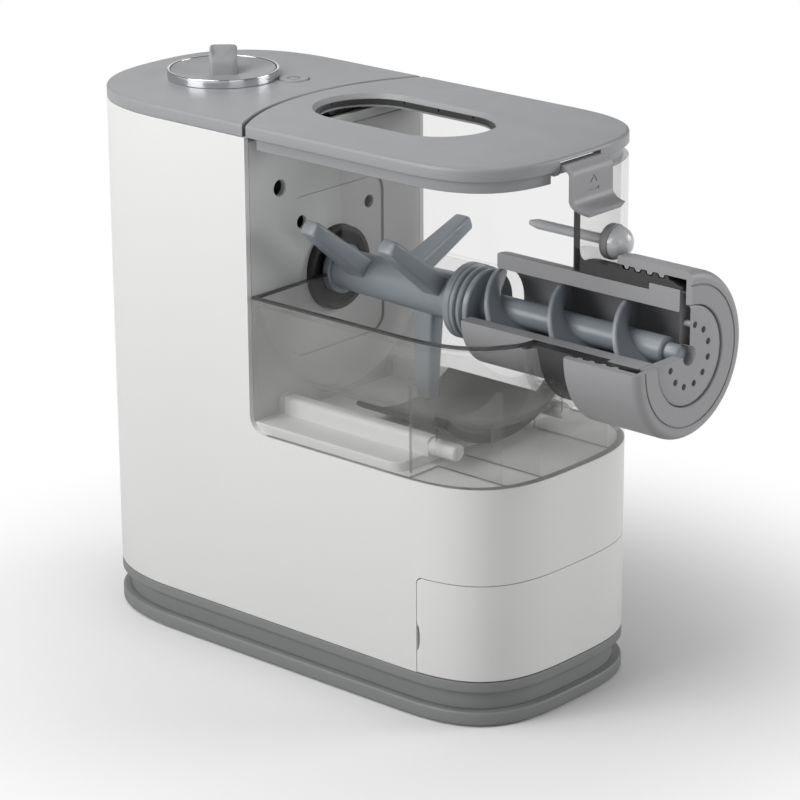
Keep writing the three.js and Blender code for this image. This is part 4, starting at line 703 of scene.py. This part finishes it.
def makeKnob():
    k = knobSizes
    low, rim = lidTop + 0.3, k["rim"]
    outer = k["radius"] - k["trim"] - 0.3
    deep = rim - 0.5 - k["dish"]
    share = np.linspace(0, 1, 16)
    dish = np.c_[rim - 0.5 - deep * np.sin(share * np.pi / 2) ** 0.8, (outer - 1.0) * (1 - share) + 6 * share]
    profile = [(low - 5, 4.6), (low, 4.6), (low, outer), (rim - 0.6, outer), (rim - 0.3, outer - 0.3), *dish]
    dial = standing(profile, k["x"], 0, 128)
    makePiece("selectorDial", [dial, makeGrip()], "cover_grey", "selector", "knob_dial")
    crown = arc(k["radius"] - k["trim"] / 2, rim - 0.5, 0.7, 0, np.pi, 12, tall=0.5)[:, ::-1]
    profile = [(low, k["radius"]), *crown, (low, k["radius"] - k["trim"])]
    trim = tidied(circles(profile, k["x"], 0, 144), gridFaces(len(profile), 144, True, True))
    makePiece("dialTrim", [trim], "bright_trim", "selector", "knob_trim_ring")


def makeButton():
    b = buttonSizes
    x, y, r, top = b["x"], b["y"], b["radius"], lidTop + b["rise"]
    profile = [(267, b["stem"]), (269.5, b["stem"]), (269.5, b["collar"]), (269.9, b["collar"]),
               (271.5, b["collar"]), (271.6, r), *rounded(top, r, b["edge"], 6), (top - 0.25, r * 0.4)]
    body = standing(profile, x, y)
    ring = cut(post(top - 0.55, top + 1, 3.4, x, y, 48), post(top - 2, top + 2, 2.7, x, y, 48),
               block(x - 0.9, x + 0.9, y + 1.5, y + 9, 0, far))
    stroke = block(x - 0.35, x + 0.35, y + 0.9, y + 4.0, top - 0.55, top + 1)
    makePiece("startButton", [cut(body, ring, stroke)], "cover_grey", "start", "start_button")


# The spring under the start button: the CAD coil with its doubles merged
def makeSpring():
    coil = bmesh.new()
    coil.from_mesh(frame["nodes"]["button_spring"].data)
    bmesh.ops.remove_doubles(coil, verts=coil.verts, dist=1e-6)
    mesh = bpy.data.meshes.new("buttonCoil")
    coil.to_mesh(mesh)
    coil.free()
    piece = placed("buttonCoil", mesh, "steel", "machine", "button_spring")
    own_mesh(piece)


makeCover()
makeKnob()
makeButton()
makeSpring()
print("cover, dial and button made")

# Lid: plate with a pouring slot, wall, skirt and latch ears. The slot has its rear, front and half width
lidSizes = {"slot": (-5.7, 95.6, 27.7), "slotWall": 2.5, "ledge": 2.5, "bevel": 1.7, "skirtInset": 2.4,
            "skirtWall": 2.0, "skirtBottom": 262.8, "skirtRear": 6.0, "wallTop": 272.2, "earWidth": 3.6,
            "earX": (148.0, 152.0), "earBottom": 266.8, "latchGap": 0.4}
latchSizes = {"x": 150.6, "z": 269.2, "barrel": 2.4, "bore": 1.3, "half": 14.4, "front": 160.4, "thick": 3.0,
              "bend": 5.0, "bottom": 255.3, "lipReach": 7.9, "lipDrop": 4.6, "corner": 6.0, "arrowZ": 265.2,
              "arrowTurn": 52.0, "barZ": (258.4, 259.7), "barHalf": 4.2, "markDeep": 0.4}
sealSizes = {"rise": 1.3, "out": 0.05, "tall": 2.6, "edge": 0.6, "inner": -3.2, "cutX": (-22.0, 0.0, 22.0)}


def slotSolid(*levels):
    # heights, and how far the outline stands outside the slot's edge at each
    rear, front, half = lidSizes["slot"]
    return upright([(z, stadium(rear - grow, front + grow, half + grow)) for z, grow in levels])


def makeLid():
    c, s, l = coverSizes, lidSizes, latchSizes
    edge = -seamSizes["width"] / 2
    side = seamDisc((0, edge), *rounded(lidTop, edge, 0.8))
    slab = kept(planSlab(c["bottom"], lidTop, lower=0.3, upper=c["edge"]), side)
    hollow = kept(planSlab(c["bottom"] - 3, c["plateBottom"], inset=c["wall"]),
                  seamDisc((-far, edge - c["wall"]), (far, edge - c["wall"])))
    skirt = cut(planSlab(s["skirtBottom"], s["wallTop"], lower=0.5, inset=s["skirtInset"]),
                planSlab(250, 290, inset=s["skirtInset"] + s["skirtWall"]))
    near = l["half"] + s["latchGap"]
    away = near + s["earWidth"]
    skirt = cut(kept(skirt, halfSpace(s["skirtRear"])),
                prismAlong(roundedBox(-away, away, 200, c["bottom"], 2.5), 100, far))
    slotWall = slotSolid((c["bottom"], s["slotWall"]), (s["wallTop"], s["slotWall"]))
    ears = [block(*s["earX"], y0, y1, s["earBottom"], s["wallTop"])
            for y0, y1 in ((-away, -near), (near, away))]
    mouth = slotSolid((c["bottom"] + 1, -s["bevel"]), (272.6, -s["bevel"]), (274.5, -0.3),
                      (lidTop + 0.6, 0.4))
    hole = slotSolid((250, -s["ledge"]), (lidTop + 4, -s["ledge"]))
    relief = block(147.6, far, -near, near, 0, 273.1)
    pinHole = acrossRod([(-l["half"] - 2.4, l["bore"]), (l["half"] + 2.4, l["bore"])], l["x"], l["z"], 24)
    lid = cut(fused(cut(slab, hollow), skirt, slotWall, *ears), mouth, hole, relief, pinHole)
    makePiece("lidShell", [lid], "cover_grey", "lid", "lid")


def makeSeal():
    # a ring on the slot's ledge, cut into segments along its top
    s = sealSizes
    low = coverSizes["bottom"] + s["rise"]
    top, out = low + s["tall"], -lidSizes["bevel"] - s["out"]
    seal = cut(slotSolid((low, out), (top - s["edge"], out), (top, out - 0.45)),
               slotSolid((low - 3, s["inner"]), (low + 9, s["inner"])))
    rear, front, _ = lidSizes["slot"]
    cuts = [block(x - 0.5, x + 0.5, -40, 40, low + 1.2, low + 9)
            for x in (rear + front) / 2 + np.array(s["cutX"])]
    cuts.append(block(-40, 140, -0.5, 0.5, low + 1.2, low + 9))
    makePiece("slotSeal", [cut(seal, *cuts)], "dark_rubber", "lid", "slot_gasket")


def bent(first, pull, last):
    # a quadratic curve between two points of the latch's side view, bent towards a third
    s = np.linspace(0, 1, 9)[:, None]
    first, pull, last = np.array([first, pull, last])
    return (1 - s) ** 2 * first + 2 * s * (1 - s) * pull + s ** 2 * last


def latchOutline():
    l = latchSizes
    x, front, bottom, thick, bend = l["x"], l["front"], l["bottom"], l["thick"], l["bend"]
    top = l["z"] + l["barrel"]
    tipX, tipZ = front + l["lipReach"], bottom - l["lipDrop"]
    outer = arc(front - bend, top - bend, bend, np.pi / 2, 0, 10)
    inner = arc(front - bend, top - bend, bend - thick, np.pi / 2, 0, 10)
    flare = bent((front, bottom + 2), (front, tipZ + 1.2), (tipX, tipZ + 0.6))
    under = bent((tipX - 1, tipZ - 2), (front - 1.5, bottom - thick - 2.4), (front - thick, bottom - 0.5))
    return np.concatenate([[[x, top]], outer, flare, under, inner[::-1], [[x, top - thick]]])


def makeLatch():
    l = latchSizes
    half, r, x, z, face = l["half"], l["barrel"], l["x"], l["z"], l["front"] - l["markDeep"]
    tip = l["bottom"] - l["lipDrop"]
    front = prismAlong(roundedBox(0.05 - half, half - 0.05, tip - 3, lidTop + 6, l["corner"], 12), 140, 180)
    plate = kept(prismAcross(latchOutline(), -half, half), front)
    barrel = acrossRod([(-half, r - 0.3), (-half + 0.3, r), (half - 0.3, r), (half, r - 0.3)], x, z, 40)
    stroke = block(face + 0.05, face + 2.4, -0.45, 3.6, -0.45, 0.45)
    arrow = [moved(turned(stroke, "x", a), z=l["arrowZ"]) for a in (180 + l["arrowTurn"], -l["arrowTurn"])]
    bar = prismAlong(roundedBox(-l["barHalf"], l["barHalf"], *l["barZ"], 0.6, 6), face, face + 2.4)
    latch = cut(fused(plate, barrel), *arrow, bar, acrossRod([(-60, l["bore"]), (60, l["bore"])], x, z, 24))
    makePiece("lidLatch", [latch], "nut_grey", "latch", "lid_latch")


makeLid()
makeSeal()
makeLatch()
print("lid and latch made")

# Clear mixing chamber with its quarter cut away
chamberSizes = {"rear": 2.8, "bottom": 121.0, "top": 262.5, "wall": 2.2, "frontWall": 3.8, "rearWall": 2.0,
                "basin": 59.2, "basinWall": 2.0, "straight": 100.0, "basinFront": 148.0, "throat": 29.0,
                "underStart": 12.0, "underFront": 14.0, "flangeTop": 187.0, "flange": 2.0, "corner": 9.0,
                "seatGap": 0.3, "seatFront": 5.6, "driveHole": 13.0, "knobHole": 2.9,
                "ribX": 101.3, "ribY": (-42.1, -21.6, 30.7), "ribHalf": 0.8, "ribTop": 166.0}
threadSizes = {"root": 33.6, "crest": 35.4, "pitch": 6.85, "start": 176.4, "turns": 4.0, "half": 1.1,
               "flank": 0.6}
sleeveSizes = {"rear": 150.0, "inner": 27.4, "wide": 30.6, "step": 193.0, "front": 212.5, "flareRise": 4.9,
               "flareRun": 3.1}
fixingPlace = {"y": 18.5, "z": 229.0}


def threadShare(x, angle, start, turns):
    # 1 on the crest and 0 between crests of a right-hand thread that passes the given start at the top
    t = threadSizes
    travel = x - start - t["pitch"] * (angle - 90.0) / 360.0
    distance = np.abs((travel + t["pitch"] / 2) % t["pitch"] - t["pitch"] / 2)
    share = np.clip((t["half"] + t["flank"] - distance) / t["flank"], 0, 1)
    end = start + turns * t["pitch"]
    return share * np.clip(x - start + t["half"], 0, 1) * np.clip(end + t["half"] - x, 0, 1)


# Bowl: a cylinder whose front closes on the throat along an ellipse that starts further back underneath
def bowlBody(rear, grow, *ends):
    c = chamberSizes
    angles = np.radians(360.0 * np.arange(144) / 144)
    under = np.clip(-np.sin(angles), 0, 1) ** 2
    end = c["basinFront"] + grow
    start, front = c["straight"] - c["underStart"] * under, end - c["underFront"] * under
    x = np.r_[rear, np.arange(86.0, end, 0.9), end]
    share = np.clip((x[:, None] - start) / (front - start), 0, 1)
    radius = c["throat"] + grow + (c["basin"] - c["throat"]) * np.sqrt(1 - share ** 2)
    for along, r in ends:
        x, radius = np.r_[x, along], np.r_[radius, np.full((1, 144), r)]
    return loft(ringsAlong(x, radius, angles))


def sleeveShell():
    s, t = sleeveSizes, threadSizes
    degrees = openDegrees(120)
    a = np.linspace(0, np.pi / 2, 8)
    flare = np.c_[outlineSizes["front"] + s["flareRun"] * (1 - np.cos(a)),
                  t["root"] + s["flareRise"] * (1 - np.sin(a))]
    threaded = [(x, t["root"]) for x in np.arange(158, 206.5, 0.6)]
    profile = np.array([(s["rear"], t["root"] + s["flareRise"]), *flare, *threaded, (s["front"] - 2, 32.0),
                        (s["front"], 31.6), (s["front"], s["wide"]), (s["step"], s["wide"]),
                        (s["step"], s["inner"]), (s["rear"], s["inner"])])
    x, plain = profile.T
    radius = np.repeat(plain[:, None], len(degrees), axis=1)
    zone = (x > 157.9) & (x < 206.4) & (plain > 33)
    radius[zone] += (t["crest"] - t["root"]) * threadShare(x[zone][:, None], degrees, t["start"], t["turns"])
    return openRing(x, radius, degrees)


def chamberRibs():
    # upright ribs under the flange, half a millimetre off the outer wall
    c = chamberSizes
    x, w, low, top = c["ribX"], c["ribHalf"], c["bottom"], c["ribTop"]
    ribs = [block(x, 151, y - w, y + w, low, top) for y in c["ribY"]]
    ribs.append(block(x, x + 2 * w, -63.4, c["ribY"][0], low, top))
    room = kept(rod(0, 118.4, 65.3, steps=120), block(0, 118.4, -33.7, 33.7, 0, axisHeight))
    gap = cut(planSlab(low + 2, 170, inset=c["wall"]), planSlab(low, 172, inset=c["wall"] + 0.5))
    return [cut(kept(rib, planSlab(0, 170, inset=0.5)), room, gap) for rib in ribs]


def plinthSeats():
    # room in the chamber's rear wall and ribs for the plinth, its bars and its pegs
    c, h = chamberSizes, housingSizes
    gap, front = c["seatGap"], c["seatFront"]
    half, w = h["plinthHalf"] + gap, h["barHalf"] + gap
    seats = [block(-far, front, -half, half, 100, h["plinthTop"] + gap)]
    for y in (-h["barY"], h["barY"]):
        seats.append(block(-far, front, y - w, y + w, 100, h["barTop"] + gap))
        seats.append(rod(90, h["pegFront"] + 0.6, w, y=y, z=h["pegZ"], steps=40))
    return seats


def chamberBody():
    c = chamberSizes
    rear, bottom, top, r = c["rear"], c["bottom"], c["top"], c["corner"]
    shell = cut(planSlab(bottom, top, upper=0.5),
                planSlab(bottom - 5, top + 5, inset=c["wall"], frontInset=c["frontWall"]),
                block(-far, rear, -far, far, 0, far))
    rearWall = kept(planSlab(bottom, top), block(rear, rear + c["rearWall"], -far, far, 0, far))
    flange = kept(planSlab(c["flangeTop"] - c["flange"], c["flangeTop"], inset=0.6), halfSpace(rear))
    bowl = cut(bowlBody(rear, c["basinWall"]), block(-far, far, -far, far, c["flangeTop"] - 0.01, far))
    whole = fused(shell, rearWall, flange, bowl, *chamberRibs(), block(151, 155.2, 0, 8, 257, 260))
    throat = sleeveSizes["inner"]
    inside = bowlBody(rear + c["rearWall"], 0.0, (c["basinFront"], throat), (170.0, throat))
    corner = np.concatenate([[[rear - r, bottom - r], [rear - r, bottom + r], [rear, bottom + r]],
                             arc(rear + r, bottom + r, r, np.pi, 1.5 * np.pi, 14), [[rear + r, bottom - r]]])
    return cut(whole, inside, rod(-5, 9, c["driveHole"]), prismAcross(corner, -far, far), *plinthSeats(),
               rod(140, 160, c["knobHole"], **fixingPlace, steps=24), cutQuarter())


# The chamber is dark where it is sawn, and denser on long narrow faces and the wall's two rims
def makeChamber():
    c = chamberSizes
    piece = makePiece("clearChamber", [chamberBody(), sleeveShell()], "smoky_clear", "machine",
                      "mixing_chamber")
    mesh = piece.data
    mesh.materials.append(cutEdge)
    mesh.materials.append(clearEdge)
    centres, normals = np.empty((2, len(mesh.polygons) * 3))
    mesh.polygons.foreach_get("center", centres)
    mesh.polygons.foreach_get("normal", normals)
    x, y, z = (centres.reshape(-1, 3) * 1000 - (towerFace, 0, 0)).T
    _, sideways, upwards = normals.reshape(-1, 3).T
    sawn = (np.abs(y) < 0.02) & (sideways < -0.9) & (z > axisHeight) & (x > 9)
    sawn |= (np.abs(z - axisHeight) < 0.02) & (upwards > 0.9) & (y < 0.1) & (x > 3)
    sawn |= (x > 156.5) & (np.hypot(y, z - axisHeight) < 37)
    corners = np.array([mesh.vertices[i].co[:] for face in mesh.polygons for i in face.vertices]) * 1000
    starts = np.cumsum([0] + [len(face.vertices) for face in mesh.polygons])[:-1]
    spans = np.sort(np.maximum.reduceat(corners, starts) - np.minimum.reduceat(corners, starts), axis=1)
    offRib = np.minimum(np.abs(y[:, None] - c["ribY"]).min(axis=1), np.abs(x - c["ribX"] - c["ribHalf"]))
    narrow = (np.abs(upwards) < 0.2) & (spans[:, 1] < 2.4) & (spans[:, 2] > 10) & (offRib < 0.85)
    narrow &= (x > 100) & (x < 156)
    narrow |= (np.abs(upwards) > 0.9) & ((z < c["bottom"] + 0.1) | (z > c["top"] - 0.1))
    mesh.polygons.foreach_set("material_index", np.where(sawn, 1, np.where(narrow, 2, 0)).astype(np.int32))


def cradle(reach, sections):
    # a band about the bowl's axis, through sections of place, inner and outer radius
    a = np.radians(np.linspace(270 - reach, 270 + reach, 60))
    around = np.c_[np.cos(a), np.sin(a)]
    rings = [(x, np.r_[around * outer, around[::-1] * inner] + (0, axisHeight))
             for x, inner, outer in sections]
    return loft([np.c_[np.full(len(ring), x), ring] for x, ring in rings])


def makeSaddle():
    sheet = cradle(33, [(43.0, 61.9, 63.4), (43.5, 61.5, 63.8), (103.0, 61.5, 63.8)])
    lip = cradle(43, [(100.0, 61.6, 65.0), (100.6, 61.4, 65.5), (107.6, 61.0, 65.5), (108.2, 61.3, 65.0)])
    makePiece("bowlSaddle", [fused(sheet, lip)], "dark_rubber", "machine", "bowl_saddle")


makeSaddle()
makeChamber()
print("chamber made")

# Paddle and extrusion screw. Each arm has its place along the axis and its angle
paddleSizes = {"root": 4.0, "reach": 54.5, "wide": (12.5, 3.0), "thick": (10.5, 2.9), "corner": 1.8,
               "socket": 7.4, "square": 4.8,
               "arms": ((70.7, 52.0), (60.2, 178.0), (40.0, -68.0), (21.0, 52.0))}
screwSizes = {"core": 6.5, "flight": 18.9, "pitch": 38.2, "phaseX": 113.0, "rear": 99.0, "front": 205.0,
              "root": 4.0, "tip": 2.8, "pin": 4.2, "square": 4.5}


def squareBar(x0, x1, half):
    return block(x0, x1, -half, half, axisHeight - half, axisHeight + half)


def paddleArm(x, degrees):
    # an arm that narrows from its root to its rounded end
    p = paddleSizes
    root, reach = p["root"], p["reach"]
    rings = []
    levels = [(root, 0), (12, 0), (26, 0), (42, 0), (reach - 1.6, 0), (reach - 0.5, 0.6), (reach, 1.6)]
    for height, inset in levels:
        share = (height - root) / (reach - root)
        wide, thick = (size - loss * share for size, loss in (p["wide"], p["thick"]))
        rings.append((height, centredBox(wide / 2 - inset, thick / 2 - inset, p["corner"], 6)))
    return moved(turned(upright(rings), "x", degrees), x, 0, axisHeight)


def makePaddle():
    p = paddleSizes
    body = lyingRod([(1.0, 12.0), (1.4, 12.5), (5.1, 12.5), (5.5, 12.1), (5.5, 10.0), (30, 10.4), (60, 11.2),
                     (82, 12.0), (83.4, 13.0), (84.0, 15.0), (84.0, 18.2), (84.4, 18.6), (87.6, 18.6),
                     (88.0, 18.2)], steps=96)
    body = cut(fused(body, *[paddleArm(x, a) for x, a in p["arms"]]), rod(-7, 13.3, p["socket"], steps=6),
               squareBar(76, 96, p["square"]))
    makePiece("mixingPaddle", [body], "paddle_blue", "mixer", "mixing_paddle")


def screwFlight():
    # a tapered section carried along a helix, lower at both ends
    s = screwSizes
    turns = (s["front"] - s["tip"] - s["rear"]) / s["pitch"]
    travel = np.linspace(0, turns, int(turns * 72))
    angle = np.pi + ((s["rear"] - s["phaseX"]) / s["pitch"] + travel[:, None]) * 2 * np.pi
    base = s["core"] - 0.6
    flank = np.array([(s["root"] / 2, base), (s["root"] / 2 - 0.25, 9.5), (s["tip"] / 2, s["flight"] - 0.7),
                      (s["tip"] / 2 - 0.5, s["flight"])])
    along, out = np.r_[flank * (-1, 1), flank[::-1]].T
    grow = np.clip(np.minimum(travel, turns - travel) / 0.03, 0.45, 1)[:, None]
    radius = base + (out - base) * grow
    x = s["rear"] + travel[:, None] * s["pitch"] + along
    return loft(np.stack([x, radius * np.cos(angle), axisHeight + radius * np.sin(angle)], -1))


def makeScrew():
    s = screwSizes
    core, pin, end = s["core"], s["pin"], s["front"]
    body = lyingRod([(88.3, 18.2), (88.6, 18.6), (90.4, 18.6), (90.7, 18.2), (91.0, 16.6), (92.0, 16.6),
                     (92.3, 18.1), (94.0, 18.3), (94.4, 17.9), (94.8, 16.2), (95.6, 16.2), (96.0, 17.6),
                     (98.0, 17.4), (98.5, 16.8), (98.5, core + 1.4), (99.6, core + 0.4), (101.5, core),
                     (end - 0.8, core), (end, core - 0.8), (end, pin), (211.5, pin), (212.6, pin * 0.85),
                     (213.1, pin * 0.6), (213.3, pin * 0.25)], steps=96)
    tenon = squareBar(76.3, 93, s["square"])
    makePiece("extrusionScrew", [body, tenon, screwFlight()], "paddle_blue", "mixer", "extrusion_screw")


# Extrusion tube, shaping disc and the screwed nut, each with its quarter cut away
nutSizes = {"radius": 39.7, "rear": 174.9, "front": 217.9, "fillet": 4.0, "opening": 24.1, "bore": 35.7,
            "crest": 34.1, "wallRear": 214.6, "groove": 33.4, "turns": 3.5}


def makeTube():
    x, radius = np.transpose([(103.0, 20.1), (103.0, 26.5), (103.5, 27.0), (193.3, 27.0), (193.3, 29.9),
                              (193.6, 30.2), (210.7, 30.2), (211.0, 29.9), (211.0, 20.0), (210.6, 19.6),
                              (103.5, 19.6)])
    makePiece("extrusionTube", [openRing(x, radius, openDegrees(120))], "nut_grey", "machine",
              "extrusion_tube")


def makeDisc():
    d = discSizes
    body = lyingRod([(211.3, 29.1), (211.7, 29.5), (213.9, 29.5), (214.3, 29.1), (214.3, 23.6), (216.6, 23.6),
                     (217.0, 23.2), (217.2, 22.6)], steps=144)
    holes = [rod(200, 230, d["hole"], y, axisHeight + z, 24) for y, z in holePlaces(d["holes"], 0.5)]
    disc = cut(body, rod(200, 230, d["centreHole"], steps=40), *holes, cutQuarter())
    makePiece("shapingDisc", [disc], "nut_grey", "disc_carrier", "shaping_disc")


def makeNut():
    n, t = nutSizes, threadSizes
    rear, front, outer, groove = n["rear"], n["front"], n["radius"], n["groove"]
    opening, bore = n["opening"], n["bore"]
    degrees = openDegrees(144)
    threaded = [(x, bore) for x in np.arange(205, 175.5, -0.6)]
    profile = np.array([(rear, outer - 0.8), (rear + 0.8, outer), *rounded(front, outer, n["fillet"], 8),
                        (front, groove + 0.5), (front - 0.8, groove + 0.3), (front - 0.8, groove - 0.3),
                        (front, groove - 0.5), (front, opening + 0.4), (front - 0.4, opening),
                        (n["wallRear"], opening), (n["wallRear"], bore), *threaded, (rear, bore)])
    x, plain = profile.T
    radius = np.repeat(plain[:, None], len(degrees), axis=1)
    zone = (x > 175.4) & (x < 205.1) & (np.abs(plain - bore) < 0.01)
    share = threadShare(x[zone][:, None], degrees, t["start"] + t["pitch"] / 2, n["turns"])
    radius[zone] -= (bore - n["crest"]) * share
    makePiece("discNut", [openRing(x, radius, degrees)], "nut_grey", "nut", "disc_nut")


def makeFixingKnob():
    a = np.linspace(0, np.pi / 2, 12)[:-1]
    dome = np.c_[160.3 + 7.7 * np.sin(a), 8.0 * np.cos(a) ** 0.9]
    knob = lyingRod([(108, 1.3), (113, 2.5), (160.3, 2.5), (160.3, 7.6), *dome, (168.0, 0.4)], **fixingPlace)
    makePiece("fixingKnob", [knob], "pale_knob", "fixing", "fixing_knob")
    ring = cut(lyingRod([(153.2, 4.3), (153.8, 4.9), (154.6, 5.6), (155.4, 7.4), (156.0, 8.4), (156.4, 8.6),
                         (159.4, 8.6), (160.0, 8.1)], **fixingPlace),
               rod(140, 180, chamberSizes["knobHole"], **fixingPlace, steps=32))
    makePiece("fixingKnobRing", [ring], "nut_grey", "fixing", "fixing_knob_ring")


def makeGland():
    z = housingSizes["cordZ"]
    body = lyingRod([(-126.1, 4.6), (-125.6, 5.2), (-122.7, 5.2), (-122.7, 9.0), (-120.3, 9.0), (-120.3, 5.2),
                     (-115.7, 5.2)], z=z, steps=48)
    makePiece("cordGland", [cut(body, rod(-140, -100, 3.4, z=z, steps=32))], "dark_rubber", "machine",
              "cord_gland")


makePaddle()
makeScrew()
makeTube()
makeDisc()
makeNut()
makeFixingKnob()
makeGland()
print("paddle, screw, tube, disc, nut and knob made")

# Plain floor, studio light and the camera. Each lamp has its place, its size and its power
stageSizes = {"target": (0.01206, -0.0192, 0.1382), "distance": 1.6514, "azimuth": 41.68, "elevation": 19.02,
              "roll": -0.35, "lens": 153.1, "sensor": 36.0, "shadowNear": 0.10, "shadowFar": 0.33,
              "room": 0.18, "paperLit": 0.5, "paper": (0.84, 0.87), "lampsAim": (0.0, 0.0, 0.14),
              "floor": 12.0, "lamps": {"leftPanel": ((-0.45, -1.35, 0.75), 0.9, 13.0),
                                       "farPanel": ((1.15, 1.25, 0.7), 0.8, 12.5),
                        "topPanel": ((-0.2, -0.30, 0.85), 0.35, 2.3),
                        "frontPanel": ((1.5, -0.55, 0.55), 0.9, 3.6),
                        "rearPanel": ((-0.9, 0.9, 0.7), 0.8, 1.4)}}


def whitened(tree, output, share, shown, kind):
    # plain white in place of what is shown, by a share
    white = addNode(tree, kind, {"Color": (1.0, 1.0, 1.0, 1.0), "Strength": 1.0})
    mix = addNode(tree, "MixShader", {"Fac": share, 1: shown, 2: (white, kind)})
    feed(tree, tree.nodes[output], {"Surface": (mix, "Shader")})


# Pale paper that fades to white away from the machine, as the camera and reflections see it
def makeFloor():
    s = stageSizes
    bpy.ops.mesh.primitive_plane_add(size=s["floor"], location=(0, 0, 0))
    floor = bpy.context.object
    floor.name = "paleFloor"
    material, tree, shader = nodeTree("palePaper")
    place = (addNode(tree, "TexCoord"), "Object")
    tone = mapRange(tree, (noiseOn(tree, place, 3.0), "Fac"), 0.0, 1.0, *s["paper"])
    rays = addNode(tree, "LightPath")
    paper = addNode(tree, "Mix",
                    {"Factor": (rays, "Is Camera Ray"), "A": s["paperLit"], "B": (tone, "Result")})
    feed(tree, shader, {"Base Color": (paper, "Result"), "Roughness": 0.9, "Specular IOR Level": 0.1})
    away = addNode(tree, "VectorMath", {0: place}, operation="LENGTH")
    past = mapRange(tree, (away, "Value"), s["shadowNear"], s["shadowFar"], 0.0, 1.0,
                    interpolation_type="SMOOTHSTEP")
    share = (rays, "Is Camera Ray")
    for operation, other in (("MAXIMUM", (rays, "Is Transmission Ray")), ("MAXIMUM", (rays, "Is Glossy Ray")),
                             ("MULTIPLY", (past, "Result"))):
        share = (addNode(tree, "Math", {0: share, 1: other}, operation=operation), "Value")
    whitened(tree, "Material Output", share, (shader, "BSDF"), "Emission")
    floor.data.materials.append(material)


def makeRoom():
    world = bpy.context.scene.world or bpy.data.worlds.new("softRoom")
    bpy.context.scene.world = world
    world.use_nodes = True
    tree = world.node_tree
    room = feed(tree, tree.nodes["Background"],
                {"Color": (1.0, 1.0, 1.0, 1.0), "Strength": stageSizes["room"]})
    rays = addNode(tree, "LightPath")
    whitened(tree, "World Output", (rays, "Is Camera Ray"), (room, "Background"), "Background")


def makeLamps():
    s = stageSizes
    for name, (place, size, power) in s["lamps"].items():
        lamp = bpy.data.lights.new(name, "AREA")
        lamp.shape = "SQUARE"
        lamp.size = size
        lamp.energy = power
        holder = bpy.data.objects.new(name, lamp)
        holder.location = place
        holder.rotation_euler = (Vector(s["lampsAim"]) - Vector(place)).to_track_quat("-Z", "Y").to_euler()
        bpy.context.scene.collection.objects.link(holder)


def makeCamera():
    s = stageSizes
    az, el = math.radians(s["azimuth"]), math.radians(s["elevation"])
    back = Vector((math.sin(az) * math.cos(el), -math.cos(az) * math.cos(el), math.sin(el)))
    lens = bpy.data.cameras.new("photoCamera")
    lens.sensor_width = s["sensor"]
    lens.lens = s["lens"]
    camera = bpy.data.objects.new("photoCamera", lens)
    camera.location = Vector(s["target"]) + back * s["distance"]
    camera.rotation_mode = "QUATERNION"
    roll = Quaternion((0, 0, 1), math.radians(s["roll"]))
    camera.rotation_quaternion = (-back).to_track_quat("-Z", "Y") @ roll
    bpy.context.scene.collection.objects.link(camera)
    bpy.context.scene.camera = camera
    bpy.context.scene.view_settings.view_transform = "Standard"
    bpy.context.scene.cycles.transparent_max_bounces = 32  # the chamber has many clear walls in a row


makeFloor()
makeRoom()
makeLamps()
makeCamera()
print("stage made")
